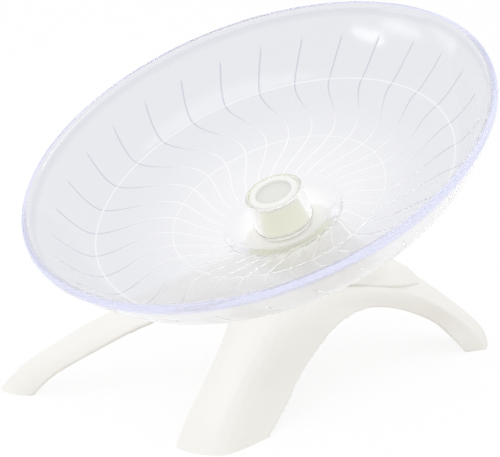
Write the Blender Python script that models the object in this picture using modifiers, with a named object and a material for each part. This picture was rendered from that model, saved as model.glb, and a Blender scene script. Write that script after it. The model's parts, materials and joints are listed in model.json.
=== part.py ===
# Hamster exercise wheel: a clear saucer that spins on a tilted axle over a three-legged stand.
# Metres, +Z up. The stand's feet are on Z = 0 and the saucer leans down towards -X.
import math

import bmesh
import bpy
from mathutils import Matrix, Vector

# Overall sizes
DISH_RADIUS = 0.090
DISH_TILT = math.radians(24.0)
HUB_HEIGHT = 0.060          # floor to the saucer's centre, on the spin axis
STAND_LENGTH = 0.100        # hub to the left foot, and the unit of the stand's plan
GAP = 0.0003                # clearance between pieces that seat on each other
RUN = 0.0012                # running gap between the turning hub and the stand
OVERRUN = 0.004             # how far a cutter passes its work
DEEP_CUT = 0.015            # the same for cuts that end in the open underside

# Saucer, heights along the spin axis from the saucer's centre
DISH_WALL = 0.0019
RIM_HEIGHT_SHARE = 0.411     # of the saucer's radius, as all its shares are
RIM_BAND = 0.0028
RIM_PROUD = 0.0006
RIM_ROUND = 0.0009
FLOOR_RADIUS_SHARE = 0.7667
FLOOR_SLOPE = math.radians(13.5)
FLOOR_START = 0.0011        # height of the floor where it meets the collar
WALL_SLOPE = math.radians(59.0)
WALL_STEPS = 4
RING_RADIUS_SHARE = 0.4567   # raised ring half way up the floor
RING_WIDTH = 0.0012
RING_PROUD = 0.0004
HUB_FLOOR = 0.0006
HUB_PAD_INSET = 0.0015      # how far the pad's edge lies inside the flange's
HUB_PAD_WALL = 0.0020
COLLAR_WALL = 0.0012        # clear collar round the cap
COLLAR_DROP = 0.0008        # cap's top down to the collar's
DISH_SEGMENTS = 56

# Raised S ribs of the running surface
RIB_COUNT = 30
RIB_OUTER_SHARE = 0.9111
RIB_INNER_SHARE = 0.2778
RIB_SWING_SHARE = 0.0544
RIB_WAVES_SHARE = 1.16      # how much of a full wave the S makes from end to end
RIB_RADIUS = 0.0007
RIB_SINK = 0.0002
RIB_POINTS = 8

# Hub cap and bearing sleeve
CAP_ROOM = 0.0001           # over the end of the axle
CAP_SIDE_WALL = 0.0014
CAP_TOP_WALL = 0.0010
CAP_RECESS_RADIUS = 0.0075
CAP_RECESS = 0.0007
CAP_ROUND = 0.0011
CAP_ROUND_STEPS = 3
SLEEVE_WALL = 0.0011
SLEEVE_FLANGE_RADIUS = 0.0180
SLEEVE_FLANGE = 0.0020
SLEEVE_SHOULDER = 0.0009
SLEEVE_LIP = 0.0006
HUB_SEGMENTS = 32

# Ball bearings
BEARING_RADIUS = 0.0065
BEARING_BORE = 0.0022       # radius
BEARING_WIDTH = 0.0040
BEARING_SPACING = 0.0083    # lower bearing to upper bearing, along the axis
RACE_WALL = 0.0011
RACE_GROOVE = 0.00015
BALL_COUNT = 7
BALL_RADIUS = 0.00075
CAGE_WALL = 0.0009
CAGE_BASE = 0.00045         # ring of the cage, below its open ball pockets
CAGE_FINGER = 0.0006        # how far its fingers rise past the balls' middle
SHIELD_WALL = 0.0003
BALL_SEGMENTS = 8
BALL_RINGS = 5
BEARING_SEGMENTS = 18
POCKET_SEGMENTS = 8

# Axle and its fasteners
AXLE_RADIUS = 0.0019
AXLE_HEAD_RADIUS = 0.0038
AXLE_HEAD = 0.0024
SPACER_WALL = 0.0009
WASHER_WALL = 0.0006
WASHER_RADIUS = 0.0042
THRUST_WASHER_WALL = 0.0008
THRUST_WASHER_RADIUS = 0.0036
NUT_ACROSS = 0.0070
NUT_HEIGHT = 0.0023
NUT_THREAD_LEFT = 0.0002    # thread that stands past the nut
SCREW_COUNT = 3
SCREW_CIRCLE = 0.0095
SCREW_RADIUS = 0.00125
SCREW_HEAD_RADIUS = 0.0027
SCREW_HEAD = 0.0015
SCREW_BITE = 0.0060
SCREW_SEGMENTS = 12

# Stand
STAND_WALL = 0.0024
SEAT_GAP = 0.0006           # between the two mouldings
SEAT_EDGE = 0.0015          # groove round the long leg's edges where it lies in the arch
ROOF_WALL = 0.0056          # the arch's thicker roof under the hub
SOLE_SHARE = 0.075          # length of the solid feet, as a share of the arch's run
ROOF_START_SHARE = 0.35     # where the thicker roof starts and ends, as shares of the arch's run
ROOF_END_SHARE = 0.86
SEAT_START_SHARE = 0.35     # where the long leg starts to lie over the arch, as a share of its run
PEDESTAL_INSET = 0.0005     # how far the pedestal's top lies inside the flange's edge
PEDESTAL_BASE = (0.0270, 0.0150)    # half length and half width of its oval foot
PEDESTAL_SHIFT = (0.0085, -0.0035)  # how far the foot's middle lies from the hub's, along the right leg
HOLLOW_BASE = (0.0210, 0.0120)      # the same for the hollow inside it
HOLLOW_SHIFT = (0.0010, -0.0010)
PEDESTAL_SWING = math.radians(-16)  # turn of the oval foot towards the right leg
PEDESTAL_FLARE_SHARE = 1.25     # power of the pedestal's flare, 1 is a plain cone
PEDESTAL_RINGS = 5
PEDESTAL_SEGMENTS = 28
AXLE_BOSS_RADIUS = 0.0055
SCREW_POST_RADIUS = 0.0029
AXLE_LAND = 0.0030          # thickness of the roof that the axle's head clamps
SCREW_LAND = 0.0034
BLADE_RIB = 0.0018
BLADE_RIB_DEPTH = 0.0024
BLADE_RIB_START = 2         # station that the rib starts at, and the share of the leg that it runs to
BLADE_RIB_SHARE = 0.33
ARCH_STEPS = 22
ARCH_ACROSS = 8
BLADE_STEPS = 22
BLADE_ACROSS = 8
SHADE_ANGLE = math.radians(35)      # sharper edges than this stay crisp

# Stations of the arch from the front foot over to the right foot. Each has five points across,
# from the far lower edge over the crown to the near lower edge. X and Y are shares of
# STAND_LENGTH and Z is a share of HUB_HEIGHT.
ARCH_SHARES = (
    ((-0.62, -0.22, -0.05), (-0.695, -0.245, -0.05), (-0.715, -0.31, -0.05), (-0.64, -0.415, -0.05),
     (-0.435, -0.42, -0.05)),
    ((-0.54, -0.20, 0.12), (-0.615, -0.21, 0.13), (-0.63, -0.29, 0.15), (-0.555, -0.38, 0.15),
     (-0.31, -0.36, 0.12)),
    ((-0.45, -0.17, 0.25), (-0.53, -0.18, 0.27), (-0.54, -0.26, 0.30), (-0.46, -0.345, 0.30),
     (-0.19, -0.32, 0.23)),
    ((-0.35, -0.12, 0.38), (-0.44, -0.145, 0.40), (-0.44, -0.225, 0.45), (-0.35, -0.31, 0.43),
     (-0.08, -0.285, 0.33)),
    ((-0.24, -0.03, 0.48), (-0.33, -0.08, 0.53), (-0.31, -0.16, 0.59), (-0.22, -0.26, 0.565),
     (0.03, -0.255, 0.41)),
    ((-0.08, 0.10, 0.53), (-0.14, 0.08, 0.64), (-0.10, -0.04, 0.70), (-0.04, -0.20, 0.615),
     (0.13, -0.235, 0.44)),
    ((0.12, 0.16, 0.53), (0.12, 0.145, 0.66), (0.12, 0.00, 0.73), (0.14, -0.19, 0.60),
     (0.22, -0.225, 0.443)),
    ((0.31, 0.08, 0.50), (0.32, 0.06, 0.65), (0.30, -0.05, 0.70), (0.29, -0.205, 0.55),
     (0.32, -0.225, 0.405)),
    ((0.49, -0.04, 0.37), (0.51, -0.05, 0.50), (0.48, -0.125, 0.555), (0.45, -0.23, 0.445),
     (0.43, -0.23, 0.33)),
    ((0.61, -0.11, 0.22), (0.63, -0.12, 0.34), (0.605, -0.18, 0.40), (0.57, -0.27, 0.317),
     (0.55, -0.25, 0.21)),
    ((0.71, -0.17, 0.07), (0.725, -0.19, 0.185), (0.71, -0.22, 0.235), (0.67, -0.295, 0.175),
     (0.645, -0.28, 0.065)),
    ((0.76, -0.22, -0.05), (0.805, -0.24, -0.05), (0.82, -0.27, -0.05), (0.785, -0.31, -0.05),
     (0.715, -0.31, -0.05)),
)

# Stations of the long leg from the left foot over the hub to its tongue, in the same shares.
BLADE_SHARES = (
    ((-0.95, 0.53, -0.05), (-0.945, 0.50, -0.05), (-0.935, 0.465, -0.05), (-0.915, 0.43, -0.05),
     (-0.886, 0.40, -0.05)),
    ((-0.86, 0.49, 0.15), (-0.845, 0.46, 0.163), (-0.83, 0.425, 0.17), (-0.815, 0.39, 0.158),
     (-0.80, 0.36, 0.133)),
    ((-0.72, 0.435, 0.303), (-0.705, 0.405, 0.32), (-0.685, 0.36, 0.328), (-0.67, 0.32, 0.317),
     (-0.655, 0.285, 0.287)),
    ((-0.58, 0.38, 0.42), (-0.56, 0.34, 0.447), (-0.545, 0.295, 0.457), (-0.53, 0.25, 0.447),
     (-0.515, 0.205, 0.42)),
    ((-0.38, 0.29, 0.54), (-0.37, 0.25, 0.588), (-0.35, 0.19, 0.613), (-0.335, 0.13, 0.597),
     (-0.32, 0.08, 0.555)),
    ((-0.15, 0.22, 0.61), (-0.15, 0.18, 0.695), (-0.13, 0.05, 0.73), (-0.105, -0.10, 0.715),
     (-0.09, -0.155, 0.67)),
    ((0.08, 0.20, 0.60), (0.09, 0.175, 0.72), (0.10, 0.02, 0.75), (0.11, -0.14, 0.715),
     (0.12, -0.19, 0.635)),
    ((0.28, 0.12, 0.56), (0.29, 0.10, 0.685), (0.28, -0.03, 0.71), (0.27, -0.16, 0.66),
     (0.27, -0.205, 0.567)),
    ((0.43, 0.01, 0.54), (0.435, 0.00, 0.615), (0.41, -0.08, 0.66), (0.395, -0.18, 0.575),
     (0.39, -0.22, 0.51)),
    ((0.50, -0.05, 0.52), (0.505, -0.065, 0.547), (0.495, -0.13, 0.572), (0.475, -0.18, 0.518),
     (0.465, -0.22, 0.467)),
    ((0.545, -0.11, 0.485), (0.542, -0.125, 0.495), (0.534, -0.15, 0.504), (0.524, -0.175, 0.488),
     (0.515, -0.195, 0.46)),
)

# Heights along the spin axis that several pieces share
HUB_UNDERSIDE = HUB_FLOOR - HUB_PAD_WALL
FLANGE_TOP = HUB_UNDERSIDE - GAP
SLEEVE_BOTTOM = FLANGE_TOP - SLEEVE_FLANGE
LOWER_BEARING = SLEEVE_BOTTOM + GAP + BEARING_WIDTH / 2
UPPER_BEARING = LOWER_BEARING + BEARING_SPACING
LOWER_SHOULDER = LOWER_BEARING + BEARING_WIDTH / 2 + GAP
UPPER_SHOULDER = UPPER_BEARING - BEARING_WIDTH / 2 - GAP
SLEEVE_TOP = UPPER_BEARING + BEARING_WIDTH / 2 + SLEEVE_LIP
SLEEVE_BORE = BEARING_RADIUS + GAP
SLEEVE_RADIUS = SLEEVE_BORE + SLEEVE_WALL
CAP_RADIUS = SLEEVE_RADIUS + GAP + CAP_SIDE_WALL
COLLAR_BORE = CAP_RADIUS + GAP
COLLAR_RADIUS = COLLAR_BORE + COLLAR_WALL
HUB_PAD_RADIUS = SLEEVE_FLANGE_RADIUS - HUB_PAD_INSET
PEDESTAL_RADIUS = SLEEVE_FLANGE_RADIUS - PEDESTAL_INSET
THRUST_TOP = LOWER_BEARING - BEARING_WIDTH / 2 - GAP
THRUST_BOTTOM = THRUST_TOP - THRUST_WASHER_WALL
PEDESTAL_TOP = SLEEVE_BOTTOM - RUN
WASHER_BOTTOM = UPPER_BEARING + BEARING_WIDTH / 2 + GAP
WASHER_TOP = WASHER_BOTTOM + WASHER_WALL
NUT_BOTTOM = WASHER_TOP + GAP
NUT_TOP = NUT_BOTTOM + NUT_HEIGHT
AXLE_TOP = NUT_TOP + NUT_THREAD_LEFT
CAP_TOP = AXLE_TOP + CAP_ROOM + CAP_TOP_WALL + CAP_RECESS
COLLAR_TOP = CAP_TOP - COLLAR_DROP
AXLE_HOLE = AXLE_RADIUS + GAP
SCREW_HOLE = SCREW_RADIUS + GAP

# The saucer's running surface and its ribs
RIM_HEIGHT = DISH_RADIUS * RIM_HEIGHT_SHARE
FLOOR_RADIUS = DISH_RADIUS * FLOOR_RADIUS_SHARE
FLOOR_EDGE_HEIGHT = FLOOR_START + (FLOOR_RADIUS - COLLAR_RADIUS) * math.tan(FLOOR_SLOPE)
RING_RADIUS = DISH_RADIUS * RING_RADIUS_SHARE
RIB_OUTER = DISH_RADIUS * RIB_OUTER_SHARE
RIB_INNER = DISH_RADIUS * RIB_INNER_SHARE
RIB_SWING = DISH_RADIUS * RIB_SWING_SHARE

# The crown of the long leg over the hub, and the roof of the arch just under it
CROWN_HEIGHT = BLADE_SHARES[6][2][2] * HUB_HEIGHT
ROOF_TOP = CROWN_HEIGHT - STAND_WALL - SEAT_GAP
TILT_SINE = math.sin(DISH_TILT)
TILT_COSINE = math.cos(DISH_TILT)

CLEAR_PLASTIC = ("clear_plastic", (0.86, 0.87, 0.95, 1.0), 0.08, 0.0)
CAP_PLASTIC = ("cap_plastic", (0.80, 0.82, 0.70, 1.0), 0.35, 0.0)
WHITE_PLASTIC = ("white_plastic", (0.87, 0.86, 0.82, 1.0), 0.38, 0.0)
BEARING_STEEL = ("bearing_steel", (0.62, 0.62, 0.64, 1.0), 0.20, 1.0)
ZINC_STEEL = ("zinc_steel", (0.66, 0.67, 0.68, 1.0), 0.35, 1.0)
CAGE_PLASTIC = ("cage_plastic", (0.80, 0.76, 0.62, 1.0), 0.50, 0.0)


# Scene, collections and materials


def clear_scene():
    """Remove everything that the start-up file holds."""
    for old in list(bpy.data.objects):
        bpy.data.objects.remove(old, do_unlink=True)


def new_collection(name):
    """Make a collection under the scene's own."""
    group = bpy.data.collections.new(name)
    bpy.context.scene.collection.children.link(group)
    return group


def material(finish):
    """Return the Principled material for a finish, made once."""
    name, colour, roughness, metallic = finish
    found = bpy.data.materials.get(name)
    if found:
        return found
    made = bpy.data.materials.new(name)
    made.use_nodes = True
    shader = made.node_tree.nodes["Principled BSDF"]
    shader.inputs["Base Color"].default_value = colour
    shader.inputs["Roughness"].default_value = roughness
    shader.inputs["Metallic"].default_value = metallic
    return made


clear_scene()
PARTS = new_collection("hamster_exercise_wheel")
CUTTERS = new_collection("cutters")


def add_part(name, mesh, finish, parent=None):
    """Put a finished piece in the model."""
    made = bpy.data.objects.new(name, mesh)
    made.parent = parent
    mesh.materials.clear()
    mesh.materials.append(material(finish))
    PARTS.objects.link(made)
    return made


def add_cutter(name, mesh, parent=None):
    """Put a tool body among the cutters, where it isn't part of the model."""
    made = bpy.data.objects.new(name, mesh)
    made.parent = parent
    made.hide_render = True
    made.display_type = "WIRE"
    CUTTERS.objects.link(made)
    return made


def boolean(target, tool, operation, folded=False):
    """Cut, join or intersect a piece with a tool body. A folded tool may run into itself."""
    modifier = target.modifiers.new(operation.lower() + "_" + tool.name, "BOOLEAN")
    modifier.operation = operation
    modifier.solver = "EXACT"
    modifier.object = tool
    modifier.use_self = folded
    return modifier


def round_shading(mesh):
    """Shade round faces smooth and keep the creases sharp."""
    mesh.shade_smooth()
    mesh.set_sharp_from_angle(angle=SHADE_ANGLE)


# Turned shapes, about local Z


def turned(target, segments):
    """Spin the target's profile a full turn about Z."""
    screw = target.modifiers.new("turn", "SCREW")
    screw.axis = "Z"
    screw.angle = 2 * math.pi
    screw.steps = segments
    screw.render_steps = segments
    screw.use_merge_vertices = True
    screw.merge_threshold = 0.00001
    screw.use_normal_calculate = False
    return target


def profile_mesh(name, points, closed):
    """Make the line that a turned shape is spun from, top to bottom down its outer side."""
    mesh = bpy.data.meshes.new(name)
    edges = [(i, i + 1) for i in range(len(points) - 1)]
    if closed:
        edges.append((len(points) - 1, 0))
    mesh.from_pydata([(radius, 0, height) for radius, height in points], edges, [])
    return mesh


def disc_profile(radius, top, bottom):
    """Profile of a plain solid disc or pin."""
    return [(0, top), (radius, top), (radius, bottom), (0, bottom)]


def ring_profile(outer, inner, top, bottom):
    """Profile of a plain ring, used closed."""
    return [(outer, top), (outer, bottom), (inner, bottom), (inner, top)]


def turned_part(name, points, finish, parent, segments, closed=False):
    """Make a turned piece of the model."""
    made = add_part(name, profile_mesh(name, points, closed), finish, parent)
    return turned(made, segments)


def turned_cutter(name, points, parent, segments, closed=False):
    """Make a turned tool body."""
    made = add_cutter(name, profile_mesh(name, points, closed), parent)
    return turned(made, segments)


def quarter_round(centre, radius, start, steps):
    """Points of a quarter circle that turns clockwise from the start angle."""
    points = []
    for step in range(steps + 1):
        angle = start - math.pi / 2 * step / steps
        points.append((centre[0] + radius * math.cos(angle), centre[1] + radius * math.sin(angle)))
    return points


# Lofts through smooth rows of points


def smooth(points, share):
    """Read a smooth curve through the points at a share of its run."""
    last = len(points) - 1
    place = min(share * last, last - 1e-9)
    index = int(place)
    part = place - index
    before = points[index - 1] if index > 0 else points[0] * 2 - points[1]
    after = points[index + 2] if index + 2 <= last else points[last] * 2 - points[last - 1]
    first = points[index]
    second = points[index + 1]
    return (first * 2 + (second - before) * part
            + (before * 2 - first * 5 + second * 4 - after) * part ** 2
            + (first * 3 - before - second * 3 + after) * part ** 3) / 2


def stand_points(shares):
    """Turn a table of stand shares into points."""
    return [[Vector((x * STAND_LENGTH, y * STAND_LENGTH, z * HUB_HEIGHT)) for x, y, z in station]
            for station in shares]


def skin(stations, along, across):
    """Smooth rows of points over a table of stations."""
    rows = []
    columns = [[station[index] for station in stations] for index in range(len(stations[0]))]
    for step in range(along + 1):
        ribs = [smooth(column, step / along) for column in columns]
        rows.append([smooth(ribs, spot / across) for spot in range(across + 1)])
    return rows


def skin_normals(rows):
    """Outward normals of a skin's points."""
    normals = []
    for i, row in enumerate(rows):
        ahead = rows[min(i + 1, len(rows) - 1)]
        behind = rows[max(i - 1, 0)]
        line = []
        for j in range(len(row)):
            run = ahead[j] - behind[j]
            across = row[min(j + 1, len(row) - 1)] - row[max(j - 1, 0)]
            line.append(across.cross(run).normalized())
        normals.append(line)
    return normals


def inset(rows, normals, depth_at):
    """Move a skin's points inwards, each by the depth at its station and spot."""
    return [[point - normal * depth_at(station, spot)
             for spot, (point, normal) in enumerate(zip(row, line))]
            for station, (row, line) in enumerate(zip(rows, normals))]


def loft_mesh(name, rings):
    """Close a loft through rings of equal count and cap both of its ends."""
    mesh = bpy.data.meshes.new(name)
    shape = bmesh.new()
    grid = [[shape.verts.new(point) for point in ring] for ring in rings]
    count = len(rings[0])
    for first, second in zip(grid, grid[1:]):
        for i in range(count):
            j = (i + 1) % count
            shape.faces.new((first[i], first[j], second[j], second[i]))
    shape.faces.new(list(reversed(grid[0])))
    shape.faces.new(grid[-1])
    bmesh.ops.recalc_face_normals(shape, faces=shape.faces)
    bmesh.ops.triangulate(shape, faces=shape.faces)
    shape.to_mesh(mesh)
    shape.free()
    return mesh


def box_mesh(name, low, high):
    """Make a box between two corners."""
    mesh = bpy.data.meshes.new(name)
    shape = bmesh.new()
    bmesh.ops.create_cube(shape, size=1)
    size = Vector(high) - Vector(low)
    bmesh.ops.scale(shape, vec=size, verts=shape.verts)
    bmesh.ops.translate(shape, vec=(Vector(high) + Vector(low)) / 2, verts=shape.verts)
    shape.to_mesh(mesh)
    shape.free()
    return mesh


# The spin axis and the floor

spin_axis = bpy.data.objects.new("spin_axis", None)
PARTS.objects.link(spin_axis)
spin_axis.location = (0, 0, HUB_HEIGHT)
spin_axis.rotation_euler = (0, -DISH_TILT, 0)

floor_block = add_cutter("floor_block", box_mesh(
    "floor_block",
    (-2 * STAND_LENGTH, -2 * STAND_LENGTH, -HUB_HEIGHT),
    (2 * STAND_LENGTH, 2 * STAND_LENGTH, 0),
))


# Saucer


def floor_height(radius):
    """Height of the saucer's sloping floor at a radius."""
    return FLOOR_EDGE_HEIGHT - (FLOOR_RADIUS - radius) * math.tan(FLOOR_SLOPE)


def wall_curve(start, end):
    """Curve that leaves the floor along its slope and meets the rim along the wall's."""
    floor_pitch = math.tan(FLOOR_SLOPE)
    wall_pitch = math.tan(WALL_SLOPE)
    rise = end[1] - start[1]
    run = end[0] - start[0]
    corner_run = (wall_pitch * run - rise) / (wall_pitch - floor_pitch)
    corner = (start[0] + corner_run, start[1] + corner_run * floor_pitch)
    points = []
    for step in range(1, WALL_STEPS + 1):
        share = step / WALL_STEPS
        weights = ((1 - share) ** 2, 2 * share * (1 - share), share ** 2)
        points.append(tuple(sum(w * p[i] for w, p in zip(weights, (start, corner, end)))
                            for i in (0, 1)))
    return points


def surface_height(radius, curve):
    """Height of the saucer's inner surface at a radius."""
    if radius <= FLOOR_RADIUS:
        return floor_height(radius)
    previous = (FLOOR_RADIUS, FLOOR_EDGE_HEIGHT)
    for point in curve:
        if radius <= point[0]:
            share = (radius - previous[0]) / (point[0] - previous[0])
            return previous[1] + share * (point[1] - previous[1])
        previous = point
    return RIM_HEIGHT


LIP_RADIUS = DISH_RADIUS - RIM_PROUD - DISH_WALL / math.sin(WALL_SLOPE)
INNER_CURVE = wall_curve((FLOOR_RADIUS, FLOOR_EDGE_HEIGHT), (LIP_RADIUS, RIM_HEIGHT - RIM_ROUND))


def raised_ring(radius):
    """Three points of a low ridge that runs round the floor."""
    half = RING_WIDTH / 2
    return [
        (radius + half, floor_height(radius + half)),
        (radius, floor_height(radius) + RING_PROUD),
        (radius - half, floor_height(radius - half)),
    ]


def dish_profile():
    """Closed profile of the saucer, from the rim down the outside and back up the inside."""
    floor_drop = DISH_WALL / math.cos(FLOOR_SLOPE)
    outer_start = (FLOOR_RADIUS + DISH_WALL * math.sin(FLOOR_SLOPE), FLOOR_EDGE_HEIGHT - DISH_WALL)
    band_bottom = RIM_HEIGHT - RIM_BAND
    outer_end = (DISH_RADIUS - RIM_PROUD, band_bottom)
    outer_curve = wall_curve(outer_start, outer_end)
    pad_edge = HUB_PAD_RADIUS + DISH_WALL
    points = [
        (DISH_RADIUS - RIM_ROUND, RIM_HEIGHT),
        (DISH_RADIUS, RIM_HEIGHT - RIM_ROUND),
        (DISH_RADIUS, band_bottom + RIM_PROUD),
    ]
    points += reversed(outer_curve)
    points += [
        outer_start,
        (pad_edge, floor_height(pad_edge) - floor_drop),
        (HUB_PAD_RADIUS, HUB_UNDERSIDE),
        (SLEEVE_RADIUS + GAP, HUB_UNDERSIDE),
        (SLEEVE_RADIUS + GAP, HUB_FLOOR),
        (COLLAR_BORE, HUB_FLOOR),
        (COLLAR_BORE, COLLAR_TOP),
        (COLLAR_RADIUS, COLLAR_TOP),
        (COLLAR_RADIUS, floor_height(COLLAR_RADIUS)),
    ]
    points += reversed(raised_ring(RING_RADIUS))
    points += [(FLOOR_RADIUS, FLOOR_EDGE_HEIGHT)] + INNER_CURVE
    return points


def rib_points(index):
    """Points of one S rib, which swings about its own radial line over the running surface."""
    turn = 2 * math.pi * index / RIB_COUNT
    points = []
    for step in range(RIB_POINTS):
        share = step / (RIB_POINTS - 1)
        along = RIB_OUTER + (RIB_INNER - RIB_OUTER) * share
        aside = RIB_SWING * math.sin(2 * math.pi * RIB_WAVES_SHARE * share)
        x = along * math.cos(turn) - aside * math.sin(turn)
        y = along * math.sin(turn) + aside * math.cos(turn)
        points.append((x, y, surface_height(math.hypot(x, y), INNER_CURVE) - RIB_SINK))
    return points


def rib_mesh():
    """All the S ribs as one tool body, each a thin closed tube."""
    curve = bpy.data.curves.new("rib_lines", "CURVE")
    curve.dimensions = "3D"
    curve.bevel_depth = RIB_RADIUS
    curve.bevel_resolution = 0
    curve.use_fill_caps = True
    for index in range(RIB_COUNT):
        points = rib_points(index)
        spline = curve.splines.new("POLY")
        spline.points.add(len(points) - 1)
        for spot, point in zip(spline.points, points):
            spot.co = (*point, 1)
    holder = bpy.data.objects.new("rib_lines", curve)
    CUTTERS.objects.link(holder)
    bpy.context.view_layer.update()
    view = holder.evaluated_get(bpy.context.evaluated_depsgraph_get())
    mesh = bpy.data.meshes.new_from_object(view)
    bpy.data.objects.remove(holder)
    shape = bmesh.new()
    shape.from_mesh(mesh)
    bmesh.ops.remove_doubles(shape, verts=shape.verts, dist=0.00001)
    bmesh.ops.recalc_face_normals(shape, faces=shape.faces)
    shape.to_mesh(mesh)
    shape.free()
    return mesh


def make_dish():
    """The clear saucer with its rim, floor, collar and S ribs."""
    dish = turned_part("dish", dish_profile(), CLEAR_PLASTIC, spin_axis, DISH_SEGMENTS, closed=True)
    ribs = add_cutter("s_ribs", rib_mesh(), spin_axis)
    boolean(dish, ribs, "UNION")
    return dish


# Hub


def make_hub_cap():
    """The cap over the hub, with its rounded edge and shallow recess."""
    bore = SLEEVE_RADIUS + GAP
    foot = HUB_FLOOR + GAP
    recess = CAP_TOP - CAP_RECESS
    under = recess - CAP_TOP_WALL
    points = [(0, recess), (CAP_RECESS_RADIUS - CAP_RECESS, recess), (CAP_RECESS_RADIUS, CAP_TOP)]
    points += quarter_round((CAP_RADIUS - CAP_ROUND, CAP_TOP - CAP_ROUND), CAP_ROUND, math.pi / 2,
                            CAP_ROUND_STEPS)
    points += [(CAP_RADIUS, foot), (bore, foot), (bore, under), (0, under)]
    return turned_part("hub_cap", points, CAP_PLASTIC, spin_axis, HUB_SEGMENTS)


def make_hub_sleeve():
    """The bearing sleeve, with the flange that the saucer rests on."""
    land = SLEEVE_BORE - SLEEVE_SHOULDER
    points = [
        (SLEEVE_RADIUS, SLEEVE_TOP),
        (SLEEVE_RADIUS, FLANGE_TOP),
        (SLEEVE_FLANGE_RADIUS, FLANGE_TOP),
        (SLEEVE_FLANGE_RADIUS, SLEEVE_BOTTOM),
        (SLEEVE_BORE, SLEEVE_BOTTOM),
        (SLEEVE_BORE, LOWER_SHOULDER),
        (land, LOWER_SHOULDER),
        (land, UPPER_SHOULDER),
        (SLEEVE_BORE, UPPER_SHOULDER),
        (SLEEVE_BORE, SLEEVE_TOP),
    ]
    return turned_part("hub_sleeve", points, WHITE_PLASTIC, spin_axis, HUB_SEGMENTS, closed=True)


# Ball bearings

INNER_RACE_RADIUS = BEARING_BORE + RACE_WALL
OUTER_RACE_BORE = BEARING_RADIUS - RACE_WALL
BALL_CIRCLE = (INNER_RACE_RADIUS + OUTER_RACE_BORE) / 2


def race_profile(back, track, middle, groove):
    """Profile of a race whose ball track is a shallow groove."""
    top = middle + BEARING_WIDTH / 2
    bottom = middle - BEARING_WIDTH / 2
    lip = BALL_RADIUS
    return [
        (back, top), (back, bottom), (track, bottom),
        (track, middle - lip), (track + groove, middle), (track, middle + lip), (track, top),
    ]


def ball_mesh():
    """One ball, about its own centre."""
    mesh = bpy.data.meshes.new("ball")
    shape = bmesh.new()
    bmesh.ops.create_uvsphere(shape, u_segments=BALL_SEGMENTS, v_segments=BALL_RINGS,
                              radius=BALL_RADIUS)
    shape.to_mesh(mesh)
    shape.free()
    round_shading(mesh)
    return mesh


def pocket_mesh(middle):
    """The radial drill holes that a cage's balls sit in."""
    mesh = bpy.data.meshes.new("pockets")
    shape = bmesh.new()
    for index in range(BALL_COUNT):
        turn = 2 * math.pi * index / BALL_COUNT
        lie = Matrix.Rotation(math.pi / 2, 4, "Y")
        place = Matrix.Translation((BALL_CIRCLE, 0, middle))
        bmesh.ops.create_cone(
            shape, cap_ends=True, segments=POCKET_SEGMENTS, depth=CAGE_WALL + 2 * GAP + BALL_RADIUS,
            radius1=BALL_RADIUS + GAP, radius2=BALL_RADIUS + GAP,
            matrix=Matrix.Rotation(turn, 4, "Z") @ place @ lie)
    shape.to_mesh(mesh)
    shape.free()
    return mesh


def make_bearing(place, middle, ball_shape):
    """One shielded ball bearing, named by its place."""
    turned_part(place + "_outer_race",
                race_profile(BEARING_RADIUS, OUTER_RACE_BORE, middle, RACE_GROOVE),
                BEARING_STEEL, spin_axis, BEARING_SEGMENTS, closed=True)
    inner = race_profile(BEARING_BORE, INNER_RACE_RADIUS, middle, -RACE_GROOVE)
    turned_part(place + "_inner_race", list(reversed(inner)),
                BEARING_STEEL, spin_axis, BEARING_SEGMENTS, closed=True)
    for index in range(BALL_COUNT):
        turn = 2 * math.pi * index / BALL_COUNT
        ball = add_part(place + "_ball_" + str(index + 1), ball_shape, BEARING_STEEL, spin_axis)
        ball.location = (BALL_CIRCLE * math.cos(turn), BALL_CIRCLE * math.sin(turn), middle)
    cage = turned_part(place + "_ball_cage",
                       ring_profile(BALL_CIRCLE + CAGE_WALL / 2, BALL_CIRCLE - CAGE_WALL / 2,
                                    middle + CAGE_FINGER, middle - BALL_RADIUS - GAP - CAGE_BASE),
                       CAGE_PLASTIC, spin_axis, BEARING_SEGMENTS, closed=True)
    boolean(cage, add_cutter(place + "_pockets", pocket_mesh(middle), spin_axis), "DIFFERENCE")
    reach = BEARING_WIDTH / 2
    for side, top in (("top", middle + reach), ("bottom", middle - reach + SHIELD_WALL)):
        turned_part(place + "_" + side + "_shield",
                    ring_profile(OUTER_RACE_BORE - GAP, INNER_RACE_RADIUS + GAP, top, top - SHIELD_WALL),
                    BEARING_STEEL, spin_axis, BEARING_SEGMENTS, closed=True)


# Axle and fasteners


def roof_height(x):
    """Height along the spin axis of the arch's roof, at a distance uphill from the axis."""
    return (ROOF_TOP - HUB_HEIGHT - x * TILT_SINE) / TILT_COSINE


AXLE_SEAT = roof_height(0) - AXLE_LAND


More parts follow.
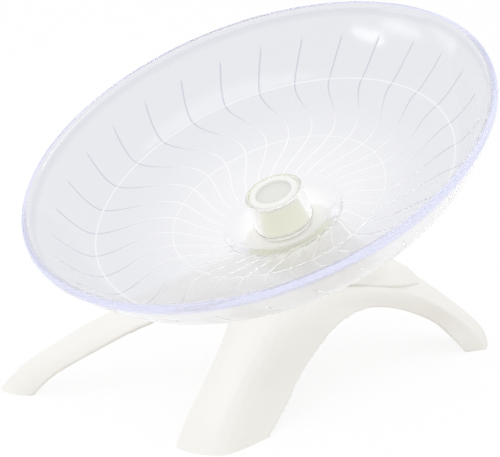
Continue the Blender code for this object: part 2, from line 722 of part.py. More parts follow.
def make_axle():
    """The axle bolt that clamps the stand and carries both bearings, with its washers and nut."""
    head_top = AXLE_SEAT - GAP
    head_bottom = head_top - AXLE_HEAD
    edge = AXLE_HEAD_RADIUS - AXLE_HEAD / 4
    points = [
        (0, AXLE_TOP), (AXLE_RADIUS, AXLE_TOP), (AXLE_RADIUS, head_top), (AXLE_HEAD_RADIUS, head_top),
        (AXLE_HEAD_RADIUS, head_bottom + AXLE_HEAD / 2), (edge, head_bottom), (0, head_bottom),
    ]
    turned_part("axle_bolt", points, ZINC_STEEL, spin_axis, BEARING_SEGMENTS)
    turned_part("thrust_washer",
                ring_profile(THRUST_WASHER_RADIUS, BEARING_BORE, THRUST_TOP, THRUST_BOTTOM),
                ZINC_STEEL, spin_axis, BEARING_SEGMENTS, closed=True)
    turned_part("bearing_spacer",
                ring_profile(BEARING_BORE + SPACER_WALL, BEARING_BORE,
                             UPPER_BEARING - BEARING_WIDTH / 2 - GAP,
                             LOWER_BEARING + BEARING_WIDTH / 2 + GAP),
                ZINC_STEEL, spin_axis, BEARING_SEGMENTS, closed=True)
    turned_part("retaining_washer", ring_profile(WASHER_RADIUS, BEARING_BORE, WASHER_TOP, WASHER_BOTTOM),
                ZINC_STEEL, spin_axis, BEARING_SEGMENTS, closed=True)


def make_nut():
    """The hexagon nut at the top of the axle."""
    mesh = bpy.data.meshes.new("axle_nut")
    shape = bmesh.new()
    corner = NUT_ACROSS / 2 / math.cos(math.pi / 6)
    middle = Matrix.Translation((0, 0, (NUT_TOP + NUT_BOTTOM) / 2))
    bmesh.ops.create_cone(shape, cap_ends=True, segments=6, radius1=corner, radius2=corner,
                          depth=NUT_HEIGHT, matrix=middle)
    shape.to_mesh(mesh)
    shape.free()
    nut = add_part("axle_nut", mesh, ZINC_STEEL, spin_axis)
    hole = turned_cutter("nut_hole", disc_profile(AXLE_HOLE, NUT_TOP + OVERRUN, NUT_BOTTOM - OVERRUN),
                         spin_axis, BEARING_SEGMENTS)
    boolean(nut, hole, "DIFFERENCE")


def screw_spots():
    """Where each frame screw stands, round the spin axis, and the height its head seats at."""
    spots = []
    for index in range(SCREW_COUNT):
        turn = math.pi / SCREW_COUNT + 2 * math.pi * index / SCREW_COUNT
        x = SCREW_CIRCLE * math.cos(turn)
        y = SCREW_CIRCLE * math.sin(turn)
        spots.append((x, y, roof_height(x) - SCREW_LAND))
    return spots


def pins_mesh(name, spots, radius):
    """Separate upright pins, each given by its place, bottom and top."""
    mesh = bpy.data.meshes.new(name)
    shape = bmesh.new()
    for x, y, bottom, top in spots:
        bmesh.ops.create_cone(shape, cap_ends=True, segments=SCREW_SEGMENTS, radius1=radius,
                              radius2=radius, depth=top - bottom,
                              matrix=Matrix.Translation((x, y, (top + bottom) / 2)))
    shape.to_mesh(mesh)
    shape.free()
    return mesh


def make_frame_screws():
    """The screws that hold the arch up against the long leg."""
    for index, (x, y, seat) in enumerate(screw_spots()):
        name = "frame_screw_" + str(index + 1)
        top = seat + SCREW_LAND + SCREW_BITE
        points = [
            (0, top), (SCREW_RADIUS, top), (SCREW_RADIUS, seat - GAP), (SCREW_HEAD_RADIUS, seat - GAP),
            (SCREW_HEAD_RADIUS, seat - GAP - SCREW_HEAD / 2),
            (SCREW_HEAD_RADIUS - SCREW_HEAD / 2, seat - GAP - SCREW_HEAD), (0, seat - GAP - SCREW_HEAD),
        ]
        screw = turned_part(name, points, ZINC_STEEL, spin_axis, SCREW_SEGMENTS)
        screw.location = (x, y, 0)


# Stand


def above_blade(name, rows, depth, edge):
    """Everything over a skin that lies at a depth below the long leg's own, as a tool body."""
    rows = rows[round(SEAT_START_SHARE * BLADE_STEPS):]
    tip = [point + (point - nearer).normalized() * STAND_WALL
           for point, nearer in zip(rows[-1], rows[-2])]
    wide = [[line[0] + (line[0] - line[1]).normalized() * edge] + line[1:-1]
            + [line[-1] + (line[-1] - line[-2]).normalized() * edge] for line in rows[:-1] + [tip]]
    lowered = inset(wide, skin_normals(rows), lambda station, spot: depth)
    up = Vector((0, 0, HUB_HEIGHT))
    rings = [[line[0]] + row + [line[-1], line[-1] + up, line[0] + up]
             for row, line in zip(lowered, wide)]
    return add_cutter(name, loft_mesh(name, rings))


def pedestal_mesh(name, radius, top, base, shift):
    """Flared form between the tilted circle under the hub and an oval foot in the long leg's crown."""
    lean = Matrix.Translation((0, 0, HUB_HEIGHT)) @ Matrix.Rotation(-DISH_TILT, 4, "Y")
    swing = Matrix.Rotation(PEDESTAL_SWING, 4, "Z")
    foot_centre = lean @ Vector((0, 0, roof_height(0))) + Vector((*shift, -ROOF_WALL))
    rings = []
    for level in range(PEDESTAL_RINGS + 1):
        share = level / PEDESTAL_RINGS
        flare = share ** PEDESTAL_FLARE_SHARE
        ring = []
        for step in range(PEDESTAL_SEGMENTS):
            turn = 2 * math.pi * step / PEDESTAL_SEGMENTS
            upper = lean @ Vector((radius * math.cos(turn), radius * math.sin(turn), top))
            lower = foot_centre + swing @ Vector((base[0] * math.cos(turn), base[1] * math.sin(turn), 0))
            middle = upper.lerp(lower, flare)
            middle.z = upper.z + (lower.z - upper.z) * share
            ring.append(middle)
        rings.append(ring)
    return loft_mesh(name, rings)


def blade_rib_mesh(rows):
    """Stiffening rib along the underside of the left blade."""
    normals = skin_normals(rows)
    middle = BLADE_ACROSS // 2
    rings = []
    for index in range(BLADE_RIB_START, round(BLADE_RIB_SHARE * BLADE_STEPS)):
        point = rows[index][middle]
        normal = normals[index][middle]
        aside = (rows[index][middle + 1] - rows[index][middle - 1]).normalized() * BLADE_RIB / 2
        high = point - normal * STAND_WALL / 2
        low = point - normal * (STAND_WALL + BLADE_RIB_DEPTH)
        rings.append([high - aside, high + aside, low + aside, low - aside])
    return loft_mesh("blade_rib", rings)


def shell_mesh(name, rows, wall):
    """A closed shell of even wall under a skin."""
    lowered = inset(rows, skin_normals(rows), lambda station, spot: wall)
    return loft_mesh(name, [row + list(reversed(low)) for row, low in zip(rows, lowered)])


def make_long_leg(rows):
    """The long leg: left blade, crown, pedestal for the hub, and the tongue over the right leg."""
    leg = add_part("long_leg", shell_mesh("long_leg", rows, STAND_WALL), WHITE_PLASTIC)
    pedestal = add_cutter("pedestal", pedestal_mesh(
        "pedestal", PEDESTAL_RADIUS, PEDESTAL_TOP, PEDESTAL_BASE, PEDESTAL_SHIFT))
    boolean(pedestal, above_blade("pedestal_trim", rows, STAND_WALL / 2, 0), "INTERSECT")
    boolean(leg, pedestal, "UNION")
    hollow = add_cutter("pedestal_hollow", pedestal_mesh(
        "pedestal_hollow", PEDESTAL_RADIUS - STAND_WALL, PEDESTAL_TOP - STAND_WALL,
        HOLLOW_BASE, HOLLOW_SHIFT))
    boolean(leg, hollow, "DIFFERENCE")
    root = PEDESTAL_TOP - STAND_WALL / 2
    deep = roof_height(0) - ROOF_WALL - DEEP_CUT
    boss = turned_cutter("axle_boss", disc_profile(AXLE_BOSS_RADIUS, root, deep), spin_axis, SCREW_SEGMENTS)
    above = above_blade("post_trim", rows, STAND_WALL, 0)
    boolean(boss, above, "INTERSECT")
    boolean(leg, boss, "UNION")
    posts = add_cutter("screw_posts", pins_mesh(
        "screw_posts", [(x, y, deep, root) for x, y, seat in screw_spots()], SCREW_POST_RADIUS), spin_axis)
    boolean(posts, above, "INTERSECT")
    boolean(leg, posts, "UNION")
    rib = add_cutter("blade_rib", blade_rib_mesh(rows))
    boolean(leg, rib, "UNION")
    boolean(leg, axle_hole, "DIFFERENCE")
    boolean(leg, screw_holes, "DIFFERENCE")
    boolean(leg, floor_block, "DIFFERENCE")
    return leg


def cavity_mesh(rows):
    """The open underside of the arch, deeper-walled under the hub and stopped short of the feet."""
    first = round(SOLE_SHARE * ARCH_STEPS)
    last = ARCH_STEPS - first

    def depth_at(station, spot):
        share = (station / ARCH_STEPS - ROOF_START_SHARE) / (ROOF_END_SHARE - ROOF_START_SHARE)
        swell = math.sqrt(math.sin(math.pi * share)) if 0 < share < 1 else 0
        return STAND_WALL + (ROOF_WALL - STAND_WALL) * swell * math.sin(math.pi * spot / ARCH_ACROSS)

    inner = inset(rows, skin_normals(rows), depth_at)
    rings = []
    for row, line in list(zip(inner, rows))[first:last]:
        middle = (line[0] + line[-1]) / 2
        down = (middle - line[ARCH_ACROSS // 2]).normalized() * OVERRUN
        rings.append(row + [row[-1] + down, row[0] + down])
    return loft_mesh("arch_cavity", rings)


def make_arch_frame(rows, blade_rows):
    """The arch: front leg, crown and right leg in one moulding, open underneath."""
    arch = add_part("arch_frame", loft_mesh("arch_frame", rows), WHITE_PLASTIC)
    boolean(arch, add_cutter("arch_cavity", cavity_mesh(rows)), "DIFFERENCE", folded=True)
    seat = above_blade("blade_seat", blade_rows, STAND_WALL + SEAT_GAP, SEAT_EDGE)
    boolean(arch, seat, "DIFFERENCE", folded=True)
    boolean(arch, axle_hole, "DIFFERENCE")
    boolean(arch, screw_holes, "DIFFERENCE")
    head_room = AXLE_HEAD_RADIUS + GAP
    low = AXLE_SEAT - 2 * DEEP_CUT
    boolean(arch, turned_cutter("axle_head_room", disc_profile(head_room, AXLE_SEAT, low), spin_axis,
                                BEARING_SEGMENTS), "DIFFERENCE")
    rooms = [(x, y, seat - DEEP_CUT, seat) for x, y, seat in screw_spots()]
    boolean(arch, add_cutter("screw_head_room", pins_mesh(
        "screw_head_room", rooms, SCREW_HEAD_RADIUS + GAP), spin_axis), "DIFFERENCE")
    boolean(arch, floor_block, "DIFFERENCE")
    return arch


# Assembly


def centre_over_floor():
    """Move the whole model so that the origin lies under the middle of its outer box."""
    bpy.context.view_layer.update()
    view = bpy.context.evaluated_depsgraph_get()
    spots = []
    for piece in PARTS.objects:
        if piece.type == "MESH":
            shape = piece.evaluated_get(view)
            spots += [shape.matrix_world @ vertex.co for vertex in shape.data.vertices]
    middle = Vector([(max(axis) + min(axis)) / 2 for axis in zip(*spots)])
    for group in (PARTS, CUTTERS):
        for item in group.objects:
            if item.parent is None:
                item.location -= Vector((middle.x, middle.y, 0))


axle_hole = turned_cutter("axle_hole", disc_profile(AXLE_HOLE, PEDESTAL_TOP + OVERRUN, -HUB_HEIGHT),
                          spin_axis, BEARING_SEGMENTS)
screw_holes = add_cutter("screw_holes", pins_mesh(
    "screw_holes", [(x, y, seat - OVERRUN, seat + SCREW_LAND + SCREW_BITE + GAP)
                    for x, y, seat in screw_spots()], SCREW_HOLE), spin_axis)

make_dish()
make_hub_cap()
make_hub_sleeve()
one_ball = ball_mesh()
make_bearing("lower", LOWER_BEARING, one_ball)
make_bearing("upper", UPPER_BEARING, one_ball)
make_axle()
make_nut()
make_frame_screws()
blade_skin = skin(stand_points(BLADE_SHARES), BLADE_STEPS, BLADE_ACROSS)
arch_skin = skin(stand_points(ARCH_SHARES), ARCH_STEPS, ARCH_ACROSS)
make_long_leg(blade_skin)
make_arch_frame(arch_skin, blade_skin)
centre_over_floor()
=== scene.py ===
"""Looks of a clear exercise saucer on a tilted axle over a three-legged white stand."""

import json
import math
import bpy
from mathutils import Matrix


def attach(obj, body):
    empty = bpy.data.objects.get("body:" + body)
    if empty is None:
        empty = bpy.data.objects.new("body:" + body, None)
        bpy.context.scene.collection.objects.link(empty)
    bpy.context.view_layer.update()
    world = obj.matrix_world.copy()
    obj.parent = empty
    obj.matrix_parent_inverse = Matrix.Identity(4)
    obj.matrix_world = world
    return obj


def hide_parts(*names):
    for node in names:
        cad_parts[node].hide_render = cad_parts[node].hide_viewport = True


bl_info = {
    "name": "Hamster exercise wheel",
    "version": (1, 0, 0),
    "blender": (4, 5, 0),
    "location": "3D View > Sidebar > Wheel",
    "description": "Builds the clear saucer, its hub and its stand on a pale floor",
    "category": "Object",
}

import bmesh
import bpy
from bpy.props import FloatProperty, FloatVectorProperty, IntProperty, PointerProperty
from mathutils import Matrix, Vector

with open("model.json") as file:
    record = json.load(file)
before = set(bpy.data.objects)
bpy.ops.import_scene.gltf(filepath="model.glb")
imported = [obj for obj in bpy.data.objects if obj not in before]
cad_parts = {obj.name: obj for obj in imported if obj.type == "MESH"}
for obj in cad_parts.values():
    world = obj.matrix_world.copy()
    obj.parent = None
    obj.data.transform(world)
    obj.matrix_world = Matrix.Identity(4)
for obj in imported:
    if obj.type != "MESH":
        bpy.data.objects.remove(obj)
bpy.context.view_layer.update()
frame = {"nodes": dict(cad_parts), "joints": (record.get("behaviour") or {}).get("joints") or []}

# The spin axis, from the frame's own joint
SPIN = next(joint for joint in frame["joints"] if joint["name"] == "dish_spin")
SPIN_POINT = Vector(SPIN["pos_m"])
TILT = math.asin(-SPIN["axis"][0])
LEAN = Matrix.Translation(SPIN_POINT) @ Matrix.Rotation(-TILT, 4, "Y")
FULL_TURN = 2 * math.pi


def spin_span(node):
    """Lowest and highest corner of a CAD node, measured along and round the spin axis."""
    straight = LEAN.inverted()
    spots = [straight @ vertex.co for vertex in frame["nodes"][node].data.vertices]
    low = Vector([min(axis) for axis in zip(*spots)])
    high = Vector([max(axis) for axis in zip(*spots)])
    return low, high


DISH_HIGH = spin_span("dish")[1]
CAP_LOW, CAP_HIGH = spin_span("hub_cap")
SLEEVE_LOW, SLEEVE_HIGH = spin_span("hub_sleeve")

# Where the running floor turns up into the wall, and where a painted shade line runs round the
# upper wall
FLOOR_SHARE = 0.7667
BRIM_SHARE = 0.957
FLOOR_RADIUS = DISH_HIGH.x * FLOOR_SHARE
BRIM_RADIUS = DISH_HIGH.x * BRIM_SHARE

WHITE = (1.0, 1.0, 1.0, 1.0)
PLASTIC_IOR = 1.49

# Tables of the stand. Each station has five points across, in shares of the stand's length and,
# for the height, of the hub's height.
ARCH_SHARES = (
    ((-0.638, -0.224, -0.05), (-0.727, -0.255, -0.05), (-0.747, -0.312, -0.05),
     (-0.656, -0.441, -0.05), (-0.465, -0.436, -0.05)),
    ((-0.546, -0.201, 0.12), (-0.626, -0.213, 0.13), (-0.641, -0.291, 0.15),
     (-0.560, -0.388, 0.15), (-0.285, -0.362, 0.12)),
    ((-0.45, -0.17, 0.25), (-0.53, -0.18, 0.27), (-0.54, -0.26, 0.30), (-0.46, -0.345, 0.30),
     (-0.19, -0.32, 0.23)),
    ((-0.35, -0.12, 0.38), (-0.44, -0.145, 0.40), (-0.44, -0.225, 0.45), (-0.35, -0.31, 0.43),
     (-0.08, -0.285, 0.33)),
    ((-0.24, -0.03, 0.48), (-0.33, -0.08, 0.53), (-0.31, -0.16, 0.59), (-0.22, -0.26, 0.565),
     (0.03, -0.255, 0.41)),
    ((-0.08, 0.10, 0.53), (-0.14, 0.08, 0.64), (-0.10, -0.04, 0.70), (-0.04, -0.20, 0.615),
     (0.13, -0.235, 0.44)),
    ((0.12, 0.16, 0.53), (0.12, 0.145, 0.66), (0.12, 0.00, 0.73), (0.14, -0.19, 0.60),
     (0.22, -0.225, 0.443)),
    ((0.31, 0.08, 0.50), (0.32, 0.06, 0.65), (0.30, -0.05, 0.70), (0.29, -0.205, 0.55),
     (0.32, -0.225, 0.405)),
    ((0.49, -0.04, 0.37), (0.51, -0.05, 0.50), (0.48, -0.125, 0.555), (0.45, -0.23, 0.445),
     (0.43, -0.23, 0.33)),
    ((0.61, -0.11, 0.22), (0.63, -0.12, 0.34), (0.605, -0.18, 0.40), (0.57, -0.27, 0.317),
     (0.55, -0.25, 0.21)),
    ((0.724, -0.17, 0.06), (0.779, -0.21, 0.100), (0.768, -0.268, 0.125), (0.693, -0.315, 0.127),
     (0.624, -0.302, 0.060)),
    ((0.774, -0.22, -0.05), (0.795, -0.262, -0.05), (0.792, -0.306, -0.05), (0.753, -0.348, -0.05),
     (0.680, -0.314, -0.05)),
)
LEG_SHARES = (
    ((-0.945, 0.560, -0.05), (-0.950, 0.523, -0.05), (-0.943, 0.489, -0.05),
     (-0.923, 0.455, -0.05), (-0.889, 0.426, -0.05)),
    ((-0.858, 0.498, 0.15), (-0.846, 0.467, 0.163), (-0.832, 0.432, 0.17), (-0.817, 0.397, 0.158),
     (-0.801, 0.367, 0.133)),
    ((-0.72, 0.435, 0.303), (-0.705, 0.405, 0.32), (-0.685, 0.36, 0.328), (-0.67, 0.32, 0.317),
     (-0.655, 0.285, 0.287)),
    ((-0.58, 0.38, 0.42), (-0.56, 0.34, 0.447), (-0.545, 0.295, 0.457), (-0.53, 0.25, 0.447),
     (-0.515, 0.205, 0.42)),
    ((-0.38, 0.29, 0.54), (-0.37, 0.25, 0.588), (-0.35, 0.19, 0.613), (-0.335, 0.13, 0.597),
     (-0.32, 0.08, 0.555)),
    ((-0.15, 0.22, 0.61), (-0.15, 0.18, 0.695), (-0.13, 0.05, 0.73), (-0.105, -0.10, 0.715),
     (-0.09, -0.155, 0.67)),
    ((0.08, 0.20, 0.60), (0.09, 0.175, 0.72), (0.10, 0.02, 0.75), (0.11, -0.14, 0.715),
     (0.12, -0.19, 0.635)),
    ((0.28, 0.12, 0.56), (0.29, 0.10, 0.685), (0.28, -0.03, 0.71), (0.27, -0.16, 0.66),
     (0.27, -0.205, 0.567)),
    ((0.43, 0.01, 0.54), (0.435, 0.00, 0.615), (0.41, -0.08, 0.66), (0.395, -0.18, 0.575),
     (0.39, -0.214, 0.52)),
    ((0.50, -0.05, 0.52), (0.505, -0.065, 0.547), (0.495, -0.13, 0.572), (0.481, -0.165, 0.534),
     (0.47, -0.20, 0.4925)),
    ((0.545, -0.11, 0.485), (0.542, -0.125, 0.495), (0.534, -0.15, 0.504), (0.527, -0.1675, 0.493),
     (0.5195, -0.185, 0.474)),
)


def length_setting(label, about, length):
    """A size in metres that a user can change."""
    return FloatProperty(name=label, description=about, default=length, unit="LENGTH")


def colour_setting(label, about, red, green, blue):
    """A colour that a user can change."""
    return FloatVectorProperty(name=label, description=about, subtype="COLOR", size=4,
                               default=(red, green, blue, 1.0))


class WheelSizes(bpy.types.PropertyGroup):
    """Sizes of the wheel that a user would change."""

    wall: length_setting("Saucer wall", "Thickness of the clear saucer", 0.0019)
    floor_start: length_setting("Floor start", "Height of the floor at the collar", 0.0011)
    rim_band: length_setting("Rim band", "Height of the thicker band at the rim", 0.0028)
    rim_proud: length_setting("Rim proud", "How far the rim band stands out", 0.0006)
    rim_round: length_setting("Rim rounding", "Radius of the rim's rounded top", 0.0009)
    floor_slope: FloatProperty(name="Floor slope", description="Slope of the running floor",
                               default=math.radians(13.5), subtype="ANGLE", unit="ROTATION")
    wall_slope: FloatProperty(name="Wall slope", description="Slope of the wall at the rim",
                              default=math.radians(59.0), subtype="ANGLE", unit="ROTATION")
    ring_radius: length_setting("Ring radius", "Radius of the raised ring on the floor", 0.0411)
    ring_proud: length_setting("Ring height", "How far the ring stands up", 0.00012)
    rib_count: IntProperty(name="Ribs", description="How many S ribs run round the floor",
                           default=30, min=3)
    rib_outer: length_setting("Rib outer end", "Radius of the ribs' outer ends", 0.082)
    rib_inner: length_setting("Rib inner end", "Radius of the ribs' inner ends", 0.0215)
    rib_swing: length_setting("Rib swing", "How far an S rib swings to each side", 0.0049)
    rib_half: length_setting("Rib half width", "Half the width of an S rib", 0.00050)
    rib_proud: length_setting("Rib height", "How far an S rib stands up", 0.00008)
    stand_length: length_setting("Stand length", "Unit of the stand's plan", 0.100)
    stand_wall: length_setting("Stand wall", "Wall of the two stand mouldings", 0.0024)
    roof_wall: length_setting("Roof wall", "Thicker wall of the arch under the hub", 0.0056)
    seat_gap: length_setting("Seat gap", "Gap between the two stand mouldings", 0.0006)
    seat_edge: length_setting("Seat edge", "How far the arch's seat runs past the leg", -0.0005)
    skin_cell: length_setting("Skin cell", "Cell size of the stand's soft skin", 0.00055)


class WheelColours(bpy.types.PropertyGroup):
    """Colours of the wheel's finishes."""

    clear: colour_setting("Clear plastic", "Tint of the saucer", 0.672, 0.681, 0.748)
    rim: colour_setting("Rim tint", "Tint gathered in the saucer's rim", 0.62, 0.64, 0.94)
    # Painted shade along the outer ribs and the brim line
    line: colour_setting("Rib tint", "Tint of the ribs and ring lines", 0.36, 0.36, 0.50)
    # White of the painted highlight on the inner ribs and the rings, and of the clearer tint near
    # the hub
    pale_and_highlight_tint: colour_setting("Pale line tint", "Tint of the inner ribs and rings", 1.0, 1.0, 1.0)
    cap_top: colour_setting("Cap top", "Off-white of the cap's top face", 0.88, 0.885, 0.86)
    recess: colour_setting("Cap recess", "Shaded tone of the cap's recess", 0.76, 0.77, 0.74)
    cap: colour_setting("Cap", "Cream of the hub cap", 0.85, 0.87, 0.72)
    white: colour_setting("Stand white", "Warm white of the stand", 0.90, 0.892, 0.860)
    steel: colour_setting("Bearing steel", "Polished steel of the bearings", 0.62, 0.62, 0.64)
    zinc: colour_setting("Zinc", "Plated steel of the screws and the axle", 0.66, 0.67, 0.68)
    cage: colour_setting("Ball cage", "Nylon of the ball cages", 0.80, 0.76, 0.62)
    floor: colour_setting("Floor", "Pale floor as the camera sees it", 0.95, 0.95, 0.95)
    bounce: colour_setting("Floor bounce", "Warm tone that the floor throws up", 0.82, 0.79, 0.735)


def sizes():
    """The size settings of this scene."""
    return bpy.context.scene.wheel_sizes


def colours():
    """The colour settings of this scene."""
    return bpy.context.scene.wheel_colours


# Shader node groups


def new_group(name, inputs, outputs):
    """Start a shader node group with its sockets, and return it with its two end nodes."""
    group = bpy.data.node_groups.new(name, "ShaderNodeTree")
    for label, kind, value in inputs:
        socket = group.interface.new_socket(label, in_out="INPUT", socket_type=kind)
        socket.default_value = value
    for label, kind in outputs:
        group.interface.new_socket(label, in_out="OUTPUT", socket_type=kind)
    return group, group.nodes.new("NodeGroupInput"), group.nodes.new("NodeGroupOutput")


def math_node(tree, operation, first, second):
    """A Math node between two links or numbers."""
    node = tree.nodes.new("ShaderNodeMath")
    node.operation = operation
    for socket, value in zip(node.inputs, (first, second)):
        if isinstance(value, (int, float)):
            socket.default_value = value
        else:
            tree.links.new(value, socket)
    return node.outputs[0]


def noise_node(tree, vector, scale, detail=4.0):
    """A noise pattern on a vector."""
    node = tree.nodes.new("ShaderNodeTexNoise")
    node.inputs["Detail"].default_value = detail
    node.inputs["Roughness"].default_value = 0.55
    tree.links.new(vector, node.inputs["Vector"])
    if isinstance(scale, (int, float)):
        node.inputs["Scale"].default_value = scale
    else:
        tree.links.new(scale, node.inputs["Scale"])
    return node.outputs["Fac"]


def mix_colour(tree, share, first, second):
    """Mix two colours by a share. Each may be a link or a plain colour."""
    node = tree.nodes.new("ShaderNodeMix")
    node.data_type = "RGBA"
    wanted = ((node.inputs[0], share), (node.inputs[6], first), (node.inputs[7], second))
    for socket, value in wanted:
        if isinstance(value, bpy.types.NodeSocket):
            tree.links.new(value, socket)
        else:
            socket.default_value = value
    return node.outputs[2]


def ramp_node(tree, share, stops):
    """A value that follows stops of place and level."""
    node = tree.nodes.new("ShaderNodeValToRGB")
    tree.links.new(share, node.inputs["Fac"])
    band = node.color_ramp
    band.interpolation = "EASE"
    while len(band.elements) < len(stops):
        band.elements.new(0.5)
    for element, (place, level) in zip(band.elements, stops):
        element.position = place
        element.color = (level, level, level, 1.0)
    return node.outputs["Color"]


def moulded_skin_group():
    """Faint clouding, gloss patches and fine grain of moulded plastic."""
    group, start, end = new_group(
        "moulded_skin",
        [("Vector", "NodeSocketVector", (0, 0, 0)), ("Colour", "NodeSocketColor", (1, 1, 1, 1)),
         ("Clouding", "NodeSocketFloat", 0.04), ("Gloss low", "NodeSocketFloat", 0.3),
         ("Gloss high", "NodeSocketFloat", 0.45), ("Grain", "NodeSocketFloat", 900.0)],
        [("Colour", "NodeSocketColor"), ("Roughness", "NodeSocketFloat"),
         ("Height", "NodeSocketFloat")])
    cloud = noise_node(group, start.outputs["Vector"], 28.0)
    grain = noise_node(group, start.outputs["Vector"], start.outputs["Grain"], 2.0)
    flow = noise_node(group, start.outputs["Vector"], 55.0, 3.0)
    darker = group.nodes.new("ShaderNodeHueSaturation")
    darker.inputs["Value"].default_value = 0.80
    group.links.new(start.outputs["Colour"], darker.inputs["Color"])
    share = math_node(group, "MULTIPLY", cloud, start.outputs["Clouding"])
    tone = mix_colour(group, share, start.outputs["Colour"], darker.outputs["Color"])
    span = math_node(group, "SUBTRACT", start.outputs["Gloss high"], start.outputs["Gloss low"])
    patch = math_node(group, "MULTIPLY", flow, span)
    rough = math_node(group, "ADD", patch, start.outputs["Gloss low"])
    height = math_node(group, "ADD", grain, math_node(group, "MULTIPLY", flow, 0.8))
    group.links.new(tone, end.inputs["Colour"])
    group.links.new(rough, end.inputs["Roughness"])
    group.links.new(height, end.inputs["Height"])
    return group


def running_marks_group():
    """Fine hairline scuffs that run every way, as a mask."""
    group, start, end = new_group(
        "running_marks",
        [("Vector", "NodeSocketVector", (0, 0, 0)), ("Scale", "NodeSocketFloat", 60.0),
         ("Amount", "NodeSocketFloat", 0.3)],
        [("Mask", "NodeSocketFloat")])
    marks = []
    for turn, stretch in (((0.3, 0.2, 0.7), (1.0, 22.0, 6.0)), ((0.1, 0.4, 2.1), (1.0, 26.0, 7.0))):
        way = group.nodes.new("ShaderNodeMapping")
        way.inputs["Rotation"].default_value = turn
        way.inputs["Scale"].default_value = stretch
        group.links.new(start.outputs["Vector"], way.inputs["Vector"])
        fine = noise_node(group, way.outputs["Vector"], start.outputs["Scale"], 3.0)
        marks.append(ramp_node(group, fine, [(0.62, 0.0), (0.72, 1.0)]))
    both = math_node(group, "MAXIMUM", *marks)
    group.links.new(math_node(group, "MULTIPLY", both, start.outputs["Amount"]), end.inputs["Mask"])
    return group


def placed_group(tree, group, vector, **values):
    """Put a node group in a material with its own values."""
    node = tree.nodes.new("ShaderNodeGroup")
    node.node_tree = bpy.data.node_groups[group]
    tree.links.new(vector, node.inputs["Vector"])
    for label, value in values.items():
        socket = node.inputs[label.replace("_", " ")]
        if isinstance(value, bpy.types.NodeSocket):
            tree.links.new(value, socket)
        else:
            socket.default_value = value
    return node


def new_material(name):
    """A material with its tree, its Principled shader and its Object coordinates."""
    made = bpy.data.materials.new(name)
    made.use_nodes = True
    tree = made.node_tree
    shader = tree.nodes["Principled BSDF"]
    place = tree.nodes.new("ShaderNodeTexCoord")
    return made, tree, shader, place.outputs["Object"]


def add_bump(tree, shader, height, strength, distance):
    """Feed a height to the shader's normal."""
    bump = tree.nodes.new("ShaderNodeBump")
    bump.inputs["Strength"].default_value = strength
    bump.inputs["Distance"].default_value = distance
    tree.links.new(height, bump.inputs["Height"])
    tree.links.new(bump.outputs["Normal"], shader.inputs["Normal"])


def blend_shaders(tree, share, first, second, output):
    """Send a mix of two shaders to an output node."""
    blend = tree.nodes.new("ShaderNodeMixShader")
    tree.links.new(share, blend.inputs["Fac"])
    tree.links.new(first, blend.inputs[1])
    tree.links.new(second, blend.inputs[2])
    tree.links.new(blend.outputs["Shader"], output.inputs["Surface"])


def spin_mapping(tree, vector):
    """Coordinates whose Z runs along the spin axis from the saucer's centre."""
    straight = LEAN.inverted()
    mapping = tree.nodes.new("ShaderNodeMapping")
    mapping.inputs["Location"].default_value = straight.to_translation()
    mapping.inputs["Rotation"].default_value = straight.to_euler()
    tree.links.new(vector, mapping.inputs["Vector"])
    return mapping.outputs["Vector"]


def axis_parts(tree, vector):
    """Radius from the spin axis and height along it, as links."""
    split = tree.nodes.new("ShaderNodeSeparateXYZ")
    tree.links.new(vector, split.inputs[0])
    squares = [math_node(tree, "MULTIPLY", split.outputs[axis], split.outputs[axis])
               for axis in ("X", "Y")]
    return math_node(tree, "SQRT", math_node(tree, "ADD", *squares), 0), split.outputs["Z"]


def mask(tree, name):
    """A vertex mask of a piece, as a link."""
    node = tree.nodes.new("ShaderNodeAttribute")
    node.attribute_name = name
    return node.outputs["Fac"]


def pass_through(tree, band):
    """Share of 1 for the rays that the clear plastic lets straight on.

    These are shadow and diffuse rays, rays on their way out of the plastic, and rays trapped in it.
    Near the collar and the rim, all rays past the first wall go straight on.
    """
    past_first_wall, past_third_wall = 1.5, 3.5
    rays = tree.nodes.new("ShaderNodeLightPath")
    ends = ramp_node(tree, band, [(0.20, 1.0), (0.28, 0.0), (0.900, 0.0), (0.930, 1.0)])
    free = math_node(tree, "MAXIMUM", ends, rays.outputs["Is Transmission Ray"])
    second = math_node(tree, "GREATER_THAN", rays.outputs["Ray Depth"], past_first_wall)
    second = math_node(tree, "MULTIPLY", second, free)
    trapped = math_node(tree, "GREATER_THAN", rays.outputs["Ray Depth"], past_third_wall)
    passing = math_node(tree, "MAXIMUM", second, trapped)
    for kind in ("Is Shadow Ray", "Is Diffuse Ray"):
        passing = math_node(tree, "MAXIMUM", passing, rays.outputs[kind])
    return passing


